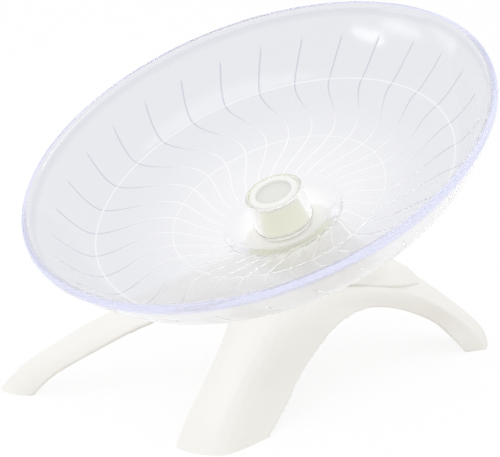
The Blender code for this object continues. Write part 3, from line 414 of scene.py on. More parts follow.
def clear_material():
    """Clear plastic, tinted where a ray enters it, with painted shade along the outer ribs and the
    brim, painted highlight on the inner ribs and the rings, and fine scuffs from running.
    """
    clean_roughness, scuff_roughness = 0.10, 0.12
    inner_clearness = 0.8
    made, tree, shader, place = new_material("clear_plastic")
    paint = colours()
    radius, _ = axis_parts(tree, spin_mapping(tree, place))
    band = math_node(tree, "DIVIDE", radius, DISH_HIGH.x)
    whiter_hub = ramp_node(tree, band, [(0.14, 0.0), (0.22, 0.5), (0.70, 1.0)])
    rim = ramp_node(tree, band, [(0.972, 0.0), (0.990, 1.0)])
    tint = mix_colour(tree, whiter_hub, paint.pale_and_highlight_tint, paint.clear)
    # Painted shade along the outer ribs and the brim line
    tint = mix_colour(tree, mask(tree, "line"), tint, paint.line)
    # Painted highlight on the inner ribs, the ring and the floor's edge, and a paler tint on the
    # outer faces
    tint = mix_colour(tree, mask(tree, "pale_and_highlight"), tint, paint.pale_and_highlight_tint)
    tint = mix_colour(tree, rim, tint, paint.rim)
    side = tree.nodes.new("ShaderNodeNewGeometry")
    tint = mix_colour(tree, side.outputs["Backfacing"], tint, WHITE)
    tree.links.new(tint, shader.inputs["Base Color"])
    marks = placed_group(tree, "running_marks", place, Scale=60.0, Amount=0.35)
    scuffs = math_node(tree, "MULTIPLY", marks.outputs["Mask"], scuff_roughness)
    tree.links.new(math_node(tree, "ADD", scuffs, clean_roughness), shader.inputs["Roughness"])
    add_bump(tree, shader, noise_node(tree, place, 35.0, 2.0), 0.02, 0.0006)
    shader.inputs["Transmission Weight"].default_value = 0.95
    shader.inputs["IOR"].default_value = PLASTIC_IOR
    through = tree.nodes.new("ShaderNodeBsdfTransparent")
    tree.links.new(mix_colour(tree, inner_clearness, tint, WHITE), through.inputs["Color"])
    blend_shaders(tree, pass_through(tree, band), shader.outputs["BSDF"], through.outputs["BSDF"],
                  tree.nodes["Material Output"])
    return made


def cap_material():
    """Cream plastic whose top face is a little whiter than its side, with a shaded recess."""
    paint = colours()
    made = plastic_material("cap_plastic", paint.cap, 0.25, 0.28, 0.40, 1200.0, 0.12)
    tree = made.node_tree
    place = next(node for node in tree.nodes if node.type == "TEX_COORD").outputs["Object"]
    skin = next(node for node in tree.nodes if node.type == "GROUP")
    _, height = axis_parts(tree, spin_mapping(tree, place))
    level = math_node(tree, "DIVIDE", height, CAP_HIGH.z)
    above_side = ramp_node(tree, level, [(0.80, 0.0), (0.90, 1.0)])
    above_recess = ramp_node(tree, level, [(0.92, 0.0), (0.97, 1.0)])
    tone = mix_colour(tree, above_side, paint.cap, paint.recess)
    tone = mix_colour(tree, above_recess, tone, paint.cap_top)
    tree.links.new(tone, skin.inputs["Colour"])
    return made


def plastic_material(name, colour, clouding, gloss_low, gloss_high, grain, strength):
    """Moulded plastic with faint clouding and grain."""
    made, tree, shader, place = new_material(name)
    skin = placed_group(tree, "moulded_skin", place, Colour=colour, Clouding=clouding,
                        Gloss_low=gloss_low, Gloss_high=gloss_high, Grain=grain)
    tree.links.new(skin.outputs["Colour"], shader.inputs["Base Color"])
    tree.links.new(skin.outputs["Roughness"], shader.inputs["Roughness"])
    add_bump(tree, shader, skin.outputs["Height"], strength, 0.0001)
    shader.inputs["IOR"].default_value = PLASTIC_IOR
    return made


def metal_material(name, colour, low, high, scale):
    """Turned or plated steel, with fine marks from its making."""
    made, tree, shader, place = new_material(name)
    radius, height = axis_parts(tree, spin_mapping(tree, place))
    turned = tree.nodes.new("ShaderNodeCombineXYZ")
    tree.links.new(radius, turned.inputs["X"])
    tree.links.new(height, turned.inputs["Y"])
    lathe = noise_node(tree, turned.outputs["Vector"], scale, 3.0)
    cloud = noise_node(tree, place, 220.0, 3.0)
    marks = placed_group(tree, "running_marks", place, Scale=240.0, Amount=0.5)
    tone = mix_colour(tree, math_node(tree, "MULTIPLY", cloud, 0.35), colour,
                      (colour[0] * 0.7, colour[1] * 0.7, colour[2] * 0.72, 1.0))
    tree.links.new(tone, shader.inputs["Base Color"])
    rough = math_node(tree, "ADD", math_node(tree, "MULTIPLY", lathe, high - low), low)
    rough = math_node(tree, "ADD", rough, math_node(tree, "MULTIPLY", marks.outputs["Mask"], 0.2))
    tree.links.new(rough, shader.inputs["Roughness"])
    add_bump(tree, shader, lathe, 0.15, 0.00005)
    shader.inputs["Metallic"].default_value = 1.0
    return made


def finish(name):
    """The material of that name, made once."""
    found = bpy.data.materials.get("wheel_" + name)
    if found:
        return found
    if "moulded_skin" not in bpy.data.node_groups:
        moulded_skin_group()
        running_marks_group()
    paint = colours()
    if name == "clear_plastic":
        made = clear_material()
    elif name == "cap_plastic":
        made = cap_material()
    elif name == "white_plastic":
        made = plastic_material(name, paint.white, 0.22, 0.30, 0.46, 900.0, 0.16)
    elif name == "cage_plastic":
        made = plastic_material(name, paint.cage, 0.35, 0.45, 0.60, 1600.0, 0.2)
    elif name == "bearing_steel":
        made = metal_material(name, paint.steel, 0.12, 0.26, 1800.0)
    else:
        made = metal_material(name, paint.zinc, 0.28, 0.45, 900.0)
    made.name = "wheel_" + name
    return made


# Shapes


def to_object(name, shape, material, body, *nodes, angle=math.radians(40)):
    """Turn a bmesh into a piece that rides on a body and stands for CAD nodes."""
    mesh = bpy.data.meshes.new(name)
    shape.to_mesh(mesh)
    shape.free()
    mesh.materials.append(finish(material))
    mesh.shade_smooth()
    mesh.set_sharp_from_angle(angle=angle)
    piece = bpy.data.objects.new(name, mesh)
    bpy.context.scene.collection.objects.link(piece)
    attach(piece, body)
    if nodes:
        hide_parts(*nodes)
    return piece


def dress(nodes, material):
    """Give CAD nodes that stay a better material."""
    for name in nodes:
        slots = frame["nodes"][name].data.materials
        slots.clear()
        slots.append(finish(material))


def arc(centre, reach, start, end, steps):
    """Points of an elliptic arc between two angles in degrees."""
    points = []
    for step in range(steps + 1):
        angle = math.radians(start + (end - start) * step / steps)
        points.append((centre[0] + reach[0] * math.cos(angle),
                       centre[1] + reach[1] * math.sin(angle)))
    return points


def spun(profile, steps, closed=True):
    """Spin a profile of radius and height a full turn, with each vertex's place in the profile."""
    shape = bmesh.new()
    station = shape.verts.layers.int.new("station")
    line = []
    for index, (radius, height) in enumerate(profile):
        vertex = shape.verts.new((radius, 0, height))
        vertex[station] = index
        line.append(vertex)
    edges = [shape.edges.new(pair) for pair in zip(line, line[1:])]
    if closed:
        edges.append(shape.edges.new((line[-1], line[0])))
    bmesh.ops.spin(shape, geom=line + edges, cent=(0, 0, 0), axis=(0, 0, 1), dvec=(0, 0, 0),
                   angle=FULL_TURN, steps=steps, use_merge=True, use_duplicate=False)
    bmesh.ops.remove_doubles(shape, verts=shape.verts, dist=0.000002)
    bmesh.ops.recalc_face_normals(shape, faces=shape.faces)
    return shape


# Saucer


# Gap round the cap, distance from the cap at which the floor's slope is measured, and how many
# columns of the mesh each S rib gets
CAP_GAP = 0.0003
SLOPE_START = 0.0015
COLUMNS = 14


def fade(value, start, end):
    """Smooth step from 0 at start to 1 at end."""
    share = min(max((value - start) / (end - start), 0), 1)
    return share * share * (3 - 2 * share)


def floor_height(radius):
    """Height of the saucer's sloping floor at a radius."""
    s = sizes()
    start = CAP_HIGH.x + SLOPE_START
    return s.floor_start + (min(radius, FLOOR_RADIUS) - start) * math.tan(s.floor_slope)


def floor_radii(start):
    """Radii of the running floor's points, closer together beside the ring and the floor's edge."""
    step = 0.0008
    fine_step = 0.00025
    fine_reach = 0.0010
    last_gap = 0.0002
    radius = start
    while radius < FLOOR_RADIUS - last_gap:
        yield radius
        line_gap = min(abs(radius - sizes().ring_radius), abs(radius - FLOOR_RADIUS))
        radius += fine_step if line_gap < fine_reach else step


def wall_curve(start, end, steps):
    """Curve that leaves the floor along its slope and meets the rim along the wall's."""
    s = sizes()
    bunching = 1.15
    floor_pitch = math.tan(s.floor_slope)
    wall_pitch = math.tan(s.wall_slope)
    rise = end[1] - start[1]
    run = end[0] - start[0]
    corner_run = (wall_pitch * run - rise) / (wall_pitch - floor_pitch)
    corner = (start[0] + corner_run, start[1] + corner_run * floor_pitch)
    points = []
    for step in range(1, steps + 1):
        share = (step / steps) ** bunching
        weights = ((1 - share) ** 2, 2 * share * (1 - share), share ** 2)
        points.append(tuple(sum(w * p[i] for w, p in zip(weights, (start, corner, end)))
                            for i in (0, 1)))
    return points


def underside_profile(outer_edge, hub_floor):
    """Profile under the floor, from its outer edge to the pad under the hub and up its bore."""
    s = sizes()
    bore = 0.0082
    pad = 0.0160
    skirt = 0.0245
    pad_wall = 0.0020
    floor_steps = 14
    skirt_steps = 10
    drop = s.wall / math.cos(s.floor_slope)
    under = hub_floor - pad_wall
    points = [outer_edge]
    for step in range(1, floor_steps):
        radius = outer_edge[0] + (skirt - outer_edge[0]) * step / floor_steps
        points.append((radius, floor_height(radius) - drop))
    for step in range(skirt_steps + 1):
        radius = skirt + (pad - skirt) * step / skirt_steps
        level = floor_height(radius) - drop
        points.append((radius, level + (under - level) * fade(step / skirt_steps, 0, 1)))
    return points + [(bore, under), (bore, hub_floor)]


def collar_profile(hub_floor):
    """Profile of the collar round the cap, and the radius at which its foot meets the floor."""
    wall = 0.0011
    top_drop = 0.0003
    top_round = 0.0003
    foot_round = 0.0006
    foot_lift = 0.0007
    foot_reach = 0.0012
    inner = CAP_HIGH.x + CAP_GAP
    outer = inner + wall
    top = CAP_HIGH.z - top_drop
    foot = floor_height(outer) + foot_lift
    points = [(inner, hub_floor), (inner, top - top_round)]
    points += arc((inner + top_round, top - top_round), (top_round, top_round), 180, 90, 3)
    points += arc((outer - top_round, top - top_round), (top_round, top_round), 90, 0, 3)
    points += [(outer, foot)]
    points += arc((outer + foot_round, foot), (foot_round, foot_round), 200, 280, 4)
    return points, outer + foot_reach


def saucer_profile():
    """Closed profile of the saucer, and where its points on the running surface start and end."""
    s = sizes()
    rim_inset = 0.00006
    crown_drop = 0.00010
    outer = DISH_HIGH.x - rim_inset
    crown = DISH_HIGH.z - crown_drop
    band_in = outer - s.rim_proud
    band_bottom = DISH_HIGH.z - s.rim_band
    lip = band_in - s.wall / math.sin(s.wall_slope)
    shoulder = (outer - s.rim_round, crown - s.rim_round)
    edge = (FLOOR_RADIUS, floor_height(FLOOR_RADIUS))
    outer_edge = (edge[0] + s.wall * math.sin(s.floor_slope), edge[1] - s.wall)
    hub_floor = CAP_LOW.z - CAP_GAP

    points = arc(shoulder, (s.rim_round, s.rim_round), 90, 0, 6)
    points += arc((band_in, band_bottom + s.rim_proud), (s.rim_proud, s.rim_proud * 0.8), 0, -80, 4)
    points += reversed(wall_curve(outer_edge, (band_in, band_bottom), 36))
    points += underside_profile(outer_edge, hub_floor)
    collar, floor_start = collar_profile(hub_floor)
    points += collar
    first = len(points)
    points += [(radius, floor_height(radius)) for radius in floor_radii(floor_start)]
    points.append(edge)
    points += wall_curve(edge, (lip, shoulder[1]), 38)
    last = len(points)
    points += arc(shoulder, (shoulder[0] - lip, s.rim_round), 180, 100, 5)[1:]
    return points, first, last


def rib_aside(radius):
    """How far an S rib lies to the side of its radial line at a radius."""
    s = sizes()
    swing_end = 0.025
    swings = 1.16
    least, most = -0.1, 1.12
    share = (s.rib_outer - radius) / (s.rib_outer - swing_end)
    share = min(max(share, least), most)
    return s.rib_swing * math.sin(FULL_TURN * swings * share)


def gathered(step, reach):
    """Distance of a column from its rib's line, with the columns nearest to it gathered on it."""
    width = sizes().rib_half
    places = [width * share for share in (0, 0.35, 0.7, 1)]
    places += [width + (reach - width) * share for share in (0.2, 0.45, 0.72, 1)]
    return math.copysign(places[min(abs(step), COLUMNS // 2)], step) if step else 0


def line_levels(radius, aside):
    """Levels from 0 to 1 of the S rib, the ring, the floor's edge and the painted shade line at the
    brim, at a place.
    """
    s = sizes()
    ring_half = 0.0005
    brim_half = 0.0007
    inner_fade = 0.003
    outer_fade = 0.0015
    ends = fade(radius, s.rib_inner, s.rib_inner + inner_fade)
    ends *= 1 - fade(radius, s.rib_outer - outer_fade, s.rib_outer)
    crest = (1 - fade(abs(aside), 0, s.rib_half)) * ends
    ring = 1 - fade(abs(radius - s.ring_radius), 0, ring_half)
    edge = 1 - fade(abs(radius - FLOOR_RADIUS), 0, ring_half)
    brim = 1 - fade(abs(radius - BRIM_RADIUS), 0, brim_half)
    return crest, ring, edge, brim


def shape_ribs(shape, profile, first, last):
    """Gather the columns of the running surface on the S ribs, raise ribs and rings, and mask
    painted shade on the outer ribs and the brim and painted highlight on the inner ribs and rings.
    """
    s = sizes()
    bend_start, bend_full = 0.0135, 0.019
    bend_margin, bend_end = 0.0008, 0.0868
    # Between these radii the rib crests turn from painted highlight to painted shade; then the
    # paler tint of the outer faces, the strength of each painted highlight, and of the painted
    # shade line at the brim
    highlight_end, shade_start = 0.040, 0.066
    outside_pale, crest_highlight, ring_highlight, edge_highlight = 0.6, 0.8, 0.45, 0.6
    brim_shade = 0.5
    edge_height = 0.7
    # Masks of the painted shade lines, and of the painted highlights with the paler outer tint
    line = shape.verts.layers.float.new("line")
    pale_and_highlight = shape.verts.layers.float.new("pale_and_highlight")
    station = shape.verts.layers.int["station"]
    sector = FULL_TURN / s.rib_count
    for vertex in shape.verts:
        index = vertex[station]
        if not first <= index < last:
            vertex[pale_and_highlight] = outside_pale if index < first else 0
            continue
        radius, height = profile[index]
        before, after = profile[index - 1], profile[index + 1]
        slope = Vector((after[0] - before[0], after[1] - before[1])).normalized()
        turned = math.atan2(vertex.co.y, vertex.co.x) / sector
        rib = round(turned)
        step = round((turned - rib) * COLUMNS)
        aside = gathered(step, sector / 2 * radius)
        even = step / COLUMNS * sector * radius
        bend = fade(radius, bend_start, bend_full)
        bend *= 1 - fade(radius, s.rib_outer + bend_margin, bend_end)
        across = even + (aside - even) * bend + rib_aside(radius) * bend
        turn = rib * sector + across / radius
        crest, ring, edge, brim = line_levels(radius, aside)
        lift = max(s.rib_proud * crest, s.ring_proud * ring, s.ring_proud * edge_height * edge)
        out = radius - slope.y * lift
        vertex.co = (out * math.cos(turn), out * math.sin(turn), height + slope.x * lift)
        outward = fade(radius, highlight_end, shade_start)
        # Painted shade on the outer rib crests and at the brim
        vertex[line] = max(crest * outward, brim * brim_shade)
        # Painted highlight on the inner rib crests, the ring and the floor's edge
        vertex[pale_and_highlight] = max(crest * (1 - outward) * crest_highlight, ring * ring_highlight, edge * edge_highlight)
    shape.verts.layers.int.remove(station)
    bmesh.ops.triangulate(shape, faces=shape.faces, quad_method="SHORT_EDGE")


class WHEEL_OT_saucer(bpy.types.Operator):
    """Build the clear saucer with its rim, its collar, its S ribs and its ring"""

    bl_idname = "wheel.saucer"
    bl_label = "Saucer"

    def execute(self, context):
        profile, first, last = saucer_profile()
        shape = spun(profile, COLUMNS * sizes().rib_count)
        shape_ribs(shape, profile, first, last)
        bmesh.ops.transform(shape, matrix=LEAN, verts=shape.verts)
        to_object("saucer", shape, "clear_plastic", "rotor", "dish", angle=math.radians(50))
        return {"FINISHED"}


# Hub

ROUND_STEPS = 96


def cap_profile():
    """Profile of the cap, with a plain bead ring in the recess of its top."""
    radius, top, foot = CAP_HIGH.x, CAP_HIGH.z, CAP_LOW.z
    recess = 0.0070
    deep = 0.0013
    soft = 0.0005
    slant_in, slant_out = 0.0003, 0.0001
    edge = 0.0015
    wall = 0.0014
    roof = 0.0010
    foot_bevel = 0.0002
    bead_radius, bead_half, bead_height = 0.0044, 0.0006, 0.00025
    flat = recess - soft - slant_in
    flat_steps = 20
    points = []
    for step in range(flat_steps + 1):
        reach = flat * step / flat_steps
        bead = bead_height * max(0, 1 - ((reach - bead_radius) / bead_half) ** 2)
        points.append((reach, top - deep + bead))
    points += arc((flat, top - deep + soft), (soft, soft), -90, -10, 5)[1:]
    points += arc((recess + soft - slant_out, top - soft), (soft, soft), 170, 90, 5)
    points += arc((radius - edge, top - edge), (edge, edge), 90, 0, 10)
    bore, ceiling = radius - wall, top - deep - roof
    points += [(radius, foot + foot_bevel), (radius - foot_bevel, foot), (bore, foot),
               (bore, ceiling), (0, ceiling)]
    return points


def sleeve_profile():
    """Closed profile of the bearing sleeve, with its flange and the land between its seats."""
    flange_reach, flange_thick = 0.0012, 0.0020
    outer = 0.0079
    inner = 0.0068
    land_width, land_rise, land_height = 0.0009, 0.0046, 0.0037
    bevel = 0.0002
    soft = 0.0005
    bottom, high = SLEEVE_LOW.z, SLEEVE_HIGH.z
    flange, flange_top = CAP_HIGH.x + flange_reach, bottom + flange_thick
    land, land_low = inner - land_width, bottom + land_rise
    land_high = land_low + land_height
    points = [(outer - bevel, high), (outer, high - bevel), (outer, flange_top)]
    points += arc((flange - soft, flange_top - soft), (soft, soft), 90, 0, 5)
    points += arc((flange - soft, bottom + soft), (soft, soft), 0, -90, 5)
    points += [(inner, bottom), (inner, land_low), (land, land_low), (land, land_high),
               (inner, land_high), (inner, high)]
    return points


class WHEEL_OT_hub(bpy.types.Operator):
    """Build the hub cap and the bearing sleeve with its flange"""

    bl_idname = "wheel.hub"
    bl_label = "Hub"

    def execute(self, context):
        for name, profile, closed, material, node in (
                ("cap", cap_profile(), False, "cap_plastic", "hub_cap"),
                ("sleeve", sleeve_profile(), True, "white_plastic", "hub_sleeve")):
            shape = spun(profile, ROUND_STEPS, closed)
            bmesh.ops.transform(shape, matrix=LEAN, verts=shape.verts)
            to_object(name, shape, material, "rotor", node)
        return {"FINISHED"}


class WHEEL_OT_bearings(bpy.types.Operator):
    """Finish the races, shields, balls and cages of both bearings"""

    bl_idname = "wheel.bearings"
    bl_label = "Bearings"

    def execute(self, context):
        names = sorted(frame["nodes"])
        cages = [name for name in names if name.endswith("_ball_cage")]
        steel = [name for name in names
                 if name.startswith(("lower_", "upper_")) and name not in cages]
        dress(cages, "cage_plastic")
        dress(steel, "bearing_steel")
        return {"FINISHED"}


# Fasteners


class WHEEL_OT_fasteners(bpy.types.Operator):
    """Finish the axle bolt, its nut and washers, and the three frame screws"""

    bl_idname = "wheel.fasteners"
    bl_label = "Fasteners"

    def execute(self, context):
        names = [name for name in frame["nodes"] if name.startswith(("frame_screw_", "axle_"))]
        names += ["thrust_washer", "bearing_spacer", "retaining_washer"]
        dress(names, "zinc_steel")
        return {"FINISHED"}


# Stand

# Steps along and across each skin of the stand, share of its run that a sole stays solid, and
# share of the long leg's run at which the arch's seat starts
LEG_STEPS = 60
LEG_ACROSS = 16
SOLE_SHARE = 0.09
SEAT_START_SHARE = 0.35


def smooth(points, share):
    """Read a smooth curve through the points at a share of its run."""
    last = len(points) - 1
    place = min(share * last, last - 1e-9)
    index = int(place)
    part = place - index
    before = points[index - 1] if index > 0 else points[0] * 2 - points[1]
    after = points[index + 2] if index + 2 <= last else points[last] * 2 - points[last - 1]
    first = points[index]
    second = points[index + 1]
    return (first * 2 + (second - before) * part
            + (before * 2 - first * 5 + second * 4 - after) * part ** 2
            + (first * 3 - before - second * 3 + after) * part ** 3) / 2


def skin(table, ridge=None):
    """Smooth rows of points over a table of stations, with a ridge at one column if asked."""
    ridge_start, ridge_full = 0.62, 0.80
    length = sizes().stand_length
    stations = [[Vector((SPIN_POINT.x + x * length, y * length, z * SPIN_POINT.z))
                 for x, y, z in station] for station in table]
    columns = [[station[index] for station in stations] for index in range(len(stations[0]))]
    rows = []
    for step in range(LEG_STEPS + 1):
        ribs = [smooth(column, step / LEG_STEPS) for column in columns]
        row = [smooth(ribs, spot / LEG_ACROSS) for spot in range(LEG_ACROSS + 1)]
        if ridge:
            crisp = fade(step / LEG_STEPS, ridge_start, ridge_full)
            whole = len(ribs) - 1
            for spot in range(LEG_ACROSS + 1):
                share = spot / LEG_ACROSS * whole
                if share <= ridge:
                    edged = smooth(ribs[:ridge + 1], share / ridge)
                else:
                    edged = ribs[ridge].lerp(ribs[ridge + 1], share - ridge)
                row[spot] = row[spot].lerp(edged, crisp)
        rows.append(row)
    return rows


def skin_normals(rows):
    """Outward normals of a skin's points."""
    normals = []
    for i, row in enumerate(rows):
        ahead = rows[min(i + 1, len(rows) - 1)]
        behind = rows[max(i - 1, 0)]
        line = []
        for j in range(len(row)):
            run = ahead[j] - behind[j]
            across = row[min(j + 1, len(row) - 1)] - row[max(j - 1, 0)]
            line.append(across.cross(run).normalized())
        normals.append(line)
    return normals


def inset(rows, normals, depth_at):
    """Move a skin's points inwards, each by the depth at its station and spot."""
    return [[point - normal * depth_at(station, spot)
             for spot, (point, normal) in enumerate(zip(row, line))]
            for station, (row, line) in enumerate(zip(rows, normals))]


def loft(rings):
    """A closed solid through rings of equal count, with both ends filled."""
    shape = bmesh.new()
    place = shape.verts.layers.int.new("place")
    start = [shape.verts.new(point) for point in rings[0]]
    for index, vertex in enumerate(start):
        vertex[place] = index
    edges = [shape.edges.new(pair) for pair in zip(start, start[1:] + start[:1])]
    bmesh.ops.edgeloop_fill(shape, edges=edges)
    for ring in rings[1:]:
        grown = bmesh.ops.extrude_edge_only(shape, edges=edges)["geom"]
        fresh = {item for item in grown if isinstance(item, bmesh.types.BMVert)}
        edges = [item for item in grown
                 if isinstance(item, bmesh.types.BMEdge) and fresh.issuperset(item.verts)]
        for vertex in fresh:
            vertex.co = ring[vertex[place]]
    bmesh.ops.edgeloop_fill(shape, edges=edges)
    bmesh.ops.recalc_face_normals(shape, faces=shape.faces)
    bmesh.ops.triangulate(shape, faces=shape.faces)
    return shape


def tool(name, shape):
    """A passing object for a boolean, which is removed when it has been used."""
    mesh = bpy.data.meshes.new(name)
    shape.to_mesh(mesh)
    shape.free()
    made = bpy.data.objects.new(name, mesh)
    bpy.context.scene.collection.objects.link(made)
    return made


def carve(target, cutter, operation):
    """Cut, join or intersect a passing object with another, for good."""
    modifier = target.modifiers.new("carve", "BOOLEAN")
    modifier.operation = operation
    modifier.solver = "EXACT"
    modifier.use_self = True
    modifier.object = cutter
    settle(target)
    bpy.data.objects.remove(cutter)


def settle(target):
    """Apply the modifiers of a passing object to its mesh."""
    bpy.context.view_layer.update()
    view = bpy.context.evaluated_depsgraph_get()
    mesh = bpy.data.meshes.new_from_object(target.evaluated_get(view))
    target.modifiers.clear()
    target.data = mesh


def soften(target):
    """Give a passing object an even soft skin and flat feet, and return it as a bmesh.

    Each pair of smoothings, in and out again, takes ripples away without shrinking the form.
    """
    pairs = 24
    inwards, outwards = 0.5, -0.51
    remesh = target.modifiers.new("soft_skin", "REMESH")
    remesh.mode = "VOXEL"
    remesh.voxel_size = sizes().skin_cell
    remesh.use_smooth_shade = True
    settle(target)
    shape = bmesh.new()
    shape.from_mesh(target.data)
    bpy.data.objects.remove(target)
    for factor in (inwards, outwards) * pairs + (inwards, inwards):
        bmesh.ops.smooth_vert(shape, verts=shape.verts, factor=factor, use_axis_x=True,
                              use_axis_y=True, use_axis_z=True)
    cut = bmesh.ops.bisect_plane(shape, geom=shape.verts[:] + shape.edges[:] + shape.faces[:],
                                 plane_co=(0, 0, 0), plane_no=(0, 0, 1), clear_inner=True)
    rim = [item for item in cut["geom_cut"] if isinstance(item, bmesh.types.BMEdge)]
    soles = bmesh.ops.edgeloop_fill(shape, edges=rim)
    bmesh.ops.triangulate(shape, faces=soles["faces"])
    bmesh.ops.recalc_face_normals(shape, faces=shape.faces)
    return shape


def above_leg(rows, depth, edge):
    """Everything over a skin that lies at a depth below the long leg's own."""
    rows = rows[round(SEAT_START_SHARE * LEG_STEPS):]
    wide = [[line[0] + (line[0] - line[1]).normalized() * edge] + line[1:-1]
            + [line[-1] + (line[-1] - line[-2]).normalized() * edge] for line in rows]
    lowered = inset(wide, skin_normals(rows), lambda station, spot: depth)
    up = Vector((0, 0, SPIN_POINT.z))
    rings = [[line[0]] + row + [line[-1], line[-1] + up, line[0] + up]
             for row, line in zip(lowered, wide)]
    return tool("above_leg", loft(rings))


def pedestal():
    """Flared form between the tilted circle under the hub and an oval foot on the crown."""
    s = sizes()
    radius = 0.0175
    hub_gap = 0.0012
    base_long, base_short = 0.0270, 0.0150
    base_shift = Vector((0.0085, -0.0035, -s.roof_wall))
    base_swing = Matrix.Rotation(math.radians(-16), 4, "Z")
    flare_power = 1.25
    levels, around = 16, 64
    crown_station, middle_point = 6, 2
    top = SLEEVE_LOW.z - hub_gap
    crown = LEG_SHARES[crown_station][middle_point][2] * SPIN_POINT.z
    roof = crown - s.stand_wall - s.seat_gap
    lean = (roof - SPIN_POINT.z) / math.cos(TILT) * -math.sin(TILT)
    base = Vector((SPIN_POINT.x + lean, 0, roof)) + base_shift
    rings = []
    for level in range(levels + 1):
        share = level / levels
        ring = []
        for step in range(around):
            turn = FULL_TURN * step / around
            upper = LEAN @ Vector((radius * math.cos(turn), radius * math.sin(turn), top))
            oval = Vector((base_long * math.cos(turn), base_short * math.sin(turn), 0))
            lower = base + base_swing @ oval
            middle = upper.lerp(lower, share ** flare_power)
            middle.z = upper.z + (lower.z - upper.z) * share
            ring.append(middle)
        rings.append(ring)
    return tool("pedestal", loft(rings))


def leg_rib(rows, normals):
    """Rib that stiffens the long leg from below, along its middle."""
    wall = sizes().stand_wall
    half = 0.0009
    end_share = 0.33
    middle = LEG_ACROSS // 2
    rings = []
    for index in range(round(SOLE_SHARE * LEG_STEPS), round(end_share * LEG_STEPS)):
        point, normal = rows[index][middle], normals[index][middle]
        aside = (rows[index][middle + 1] - rows[index][middle - 1]).normalized() * half
        high = point - normal * wall / 2
        low = point - normal * wall * 2
        rings.append([high - aside, high + aside, low + aside, low - aside])
    return tool("leg_rib", loft(rings))


def arch_cavity(rows):
    """Hollow under the arch, which leaves a thicker roof under the hub and solid soles."""
    s = sizes()
    sole = round(SOLE_SHARE * LEG_STEPS)
    roof_start, roof_run = 0.35, 0.51
    overrun = 0.004

    def depth_at(station, spot):
        share = (station / LEG_STEPS - roof_start) / roof_run
        swell = math.sqrt(math.sin(math.pi * share)) if 0 < share < 1 else 0
        extra = (s.roof_wall - s.stand_wall) * swell
        return s.stand_wall + extra * math.sin(math.pi * spot / LEG_ACROSS)

    inner = inset(rows, skin_normals(rows), depth_at)
    rings = []
    for row, line in list(zip(inner, rows))[sole:LEG_STEPS - sole]:
        middle = (line[0] + line[-1]) / 2
        down = (middle - line[LEG_ACROSS // 2]).normalized() * overrun
        rings.append(row + [row[-1] + down, row[0] + down])
    return tool("arch_cavity", loft(rings))


class WHEEL_OT_long_leg(bpy.types.Operator):
    """Build the long leg with its crown, its pedestal and its tongue"""

    bl_idname = "wheel.long_leg"
    bl_label = "Long leg"

    def execute(self, context):
        wall = sizes().stand_wall
        rows = skin(LEG_SHARES)
        normals = skin_normals(rows)
        lowered = inset(rows, normals, lambda station, spot: wall)
        leg = tool("leg_form", loft([row + low[::-1] for row, low in zip(rows, lowered)]))
        tower = pedestal()
        carve(tower, above_leg(rows, wall / 2, 0), "INTERSECT")
        carve(leg, tower, "UNION")
        carve(leg, leg_rib(rows, normals), "UNION")
        to_object("long_leg_skin", soften(leg), "white_plastic", "stand", "long_leg")
        return {"FINISHED"}


class WHEEL_OT_arch(bpy.types.Operator):
    """Build the arch of the front leg and the right leg"""

    bl_idname = "wheel.arch"
    bl_label = "Arch"

    def execute(self, context):
        s = sizes()
        rows = skin(ARCH_SHARES, ridge=3)
        arch = tool("arch_form", loft(rows))
        carve(arch, arch_cavity(rows), "DIFFERENCE")
        seat = above_leg(skin(LEG_SHARES), s.stand_wall + s.seat_gap, s.seat_edge)
        carve(arch, seat, "DIFFERENCE")
        to_object("arch_skin", soften(arch), "white_plastic", "stand", "arch_frame")
        return {"FINISHED"}


# Stage


def add_area(name, place, target, width, height, energy):
    """A soft oval lamp that looks at a target."""
    data = bpy.data.lights.new(name, "AREA")
    data.shape = "ELLIPSE"
    data.size = width
    data.size_y = height
    data.energy = energy
    lamp = bpy.data.objects.new(name, data)
    lamp.location = place
    lamp.rotation_euler = (Vector(target) - Vector(place)).to_track_quat("-Z", "Y").to_euler()
    bpy.context.scene.collection.objects.link(lamp)


def background_rays(tree):
    """Share of 1 for the rays that show the background: camera, glossy and transmission rays."""
    path = tree.nodes.new("ShaderNodeLightPath")
    seen = math_node(tree, "MAXIMUM", path.outputs["Is Camera Ray"], path.outputs["Is Glossy Ray"])
    return math_node(tree, "MAXIMUM", seen, path.outputs["Is Transmission Ray"])


def pale_floor_material():
    """Pale floor that shows as white to the camera, keeps the shadows and throws up a warm tone."""
    made, tree, shader, place = new_material("pale_floor")
    paint = colours()
    darker = (*[level * 0.9 for level in paint.floor[:3]], 1.0)
    cloud = math_node(tree, "MULTIPLY", noise_node(tree, place, 3.0), 0.02)
    tone = mix_colour(tree, cloud, paint.floor, darker)
    tone = mix_colour(tree, background_rays(tree), paint.bounce, tone)
    tree.links.new(tone, shader.inputs["Base Color"])
    shader.inputs["Roughness"].default_value = 0.9
    glow = tree.nodes.new("ShaderNodeEmission")
    glow.inputs["Color"].default_value = WHITE
    glow_share = math_node(tree, "MULTIPLY", background_rays(tree), 0.84)
    blend_shaders(tree, glow_share, shader.outputs["BSDF"], glow.outputs["Emission"],
                  tree.nodes["Material Output"])
    return made


def studio_world():
    """Even white light, with a background of plain white."""
    world = bpy.data.worlds.new("studio")
    world.use_nodes = True
    tree = world.node_tree
    light = tree.nodes["Background"]
    backdrop = tree.nodes.new("ShaderNodeBackground")
    for node, strength in ((light, 0.96), (backdrop, 1.0)):
        node.inputs["Color"].default_value = WHITE
        node.inputs["Strength"].default_value = strength
    blend_shaders(tree, background_rays(tree), light.outputs[0], backdrop.outputs[0],
                  tree.nodes["World Output"])
    return world


def add_camera(place, look, lens):
    """The scene's camera, at a place and along a direction."""
    data = bpy.data.cameras.new("camera")
    data.lens = lens
    data.sensor_width = 36.0
    data.clip_end = 50.0
    camera = bpy.data.objects.new("camera", data)
    camera.location = place
    camera.rotation_euler = Vector(look).to_track_quat("-Z", "Y").to_euler()
    bpy.context.scene.collection.objects.link(camera)
    bpy.context.scene.camera = camera


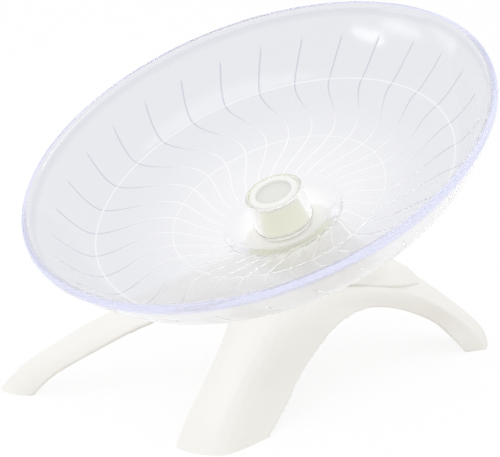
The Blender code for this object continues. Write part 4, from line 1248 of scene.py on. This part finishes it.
class WHEEL_OT_stage(bpy.types.Operator):
    """Set the pale floor, the soft lamps and the camera"""

    bl_idname = "wheel.stage"
    bl_label = "Stage"

    def execute(self, context):
        scene = context.scene
        scene.view_settings.view_transform = "Standard"
        shape = bmesh.new()
        bmesh.ops.create_grid(shape, x_segments=1, y_segments=1, size=6)
        mesh = bpy.data.meshes.new("floor")
        shape.to_mesh(mesh)
        shape.free()
        mesh.materials.append(pale_floor_material())
        floor = bpy.data.objects.new("floor", mesh)
        scene.collection.objects.link(floor)
        scene.world = studio_world()
        add_area("key_lamp", (-0.40, -0.05, 1.10), (0, 0, 0.06),
                 width=1.0, height=1.0, energy=1.6)
        add_area("window_lamp", (-1.02, 0.42, 0.225), (0.06, 0.03, 0.115),
                 width=0.36, height=0.07, energy=0.26)
        add_area("strip_lamp", (-0.10, 1.12, 0.028), (0.06, 0, 0.11),
                 width=1.4, height=0.035, energy=0.15)
        add_camera(place=(-0.4860, -0.5836, 0.3358), look=(0.5948, 0.7268, -0.3420), lens=158.4)
        return {"FINISHED"}


class WHEEL_PT_panel(bpy.types.Panel):
    """Buttons for the wheel's pieces and its stage"""

    bl_idname = "WHEEL_PT_panel"
    bl_label = "Exercise wheel"
    bl_space_type = "VIEW_3D"
    bl_region_type = "UI"
    bl_category = "Wheel"

    def draw(self, context):
        layout = self.layout
        for group in (context.scene.wheel_sizes, context.scene.wheel_colours):
            for name in group.__annotations__:
                layout.prop(group, name)
        for operator in OPERATORS:
            layout.operator(operator.bl_idname)


OPERATORS = (WHEEL_OT_saucer, WHEEL_OT_hub, WHEEL_OT_bearings, WHEEL_OT_fasteners,
             WHEEL_OT_long_leg, WHEEL_OT_arch, WHEEL_OT_stage)
CLASSES = (WheelSizes, WheelColours) + OPERATORS + (WHEEL_PT_panel,)


def register():
    """Register the classes and hang the settings on the scene."""
    for item in CLASSES:
        bpy.utils.register_class(item)
    bpy.types.Scene.wheel_sizes = PointerProperty(type=WheelSizes)
    bpy.types.Scene.wheel_colours = PointerProperty(type=WheelColours)


def unregister():
    """Take the settings and the classes away again."""
    del bpy.types.Scene.wheel_colours
    del bpy.types.Scene.wheel_sizes
    for item in reversed(CLASSES):
        bpy.utils.unregister_class(item)


def main():
    """Build everything in order."""
    register()
    bpy.ops.wheel.saucer()
    bpy.ops.wheel.hub()
    bpy.ops.wheel.bearings()
    bpy.ops.wheel.fasteners()
    bpy.ops.wheel.long_leg()
    bpy.ops.wheel.arch()
    bpy.ops.wheel.stage()


if __name__ == "__main__":
    main()
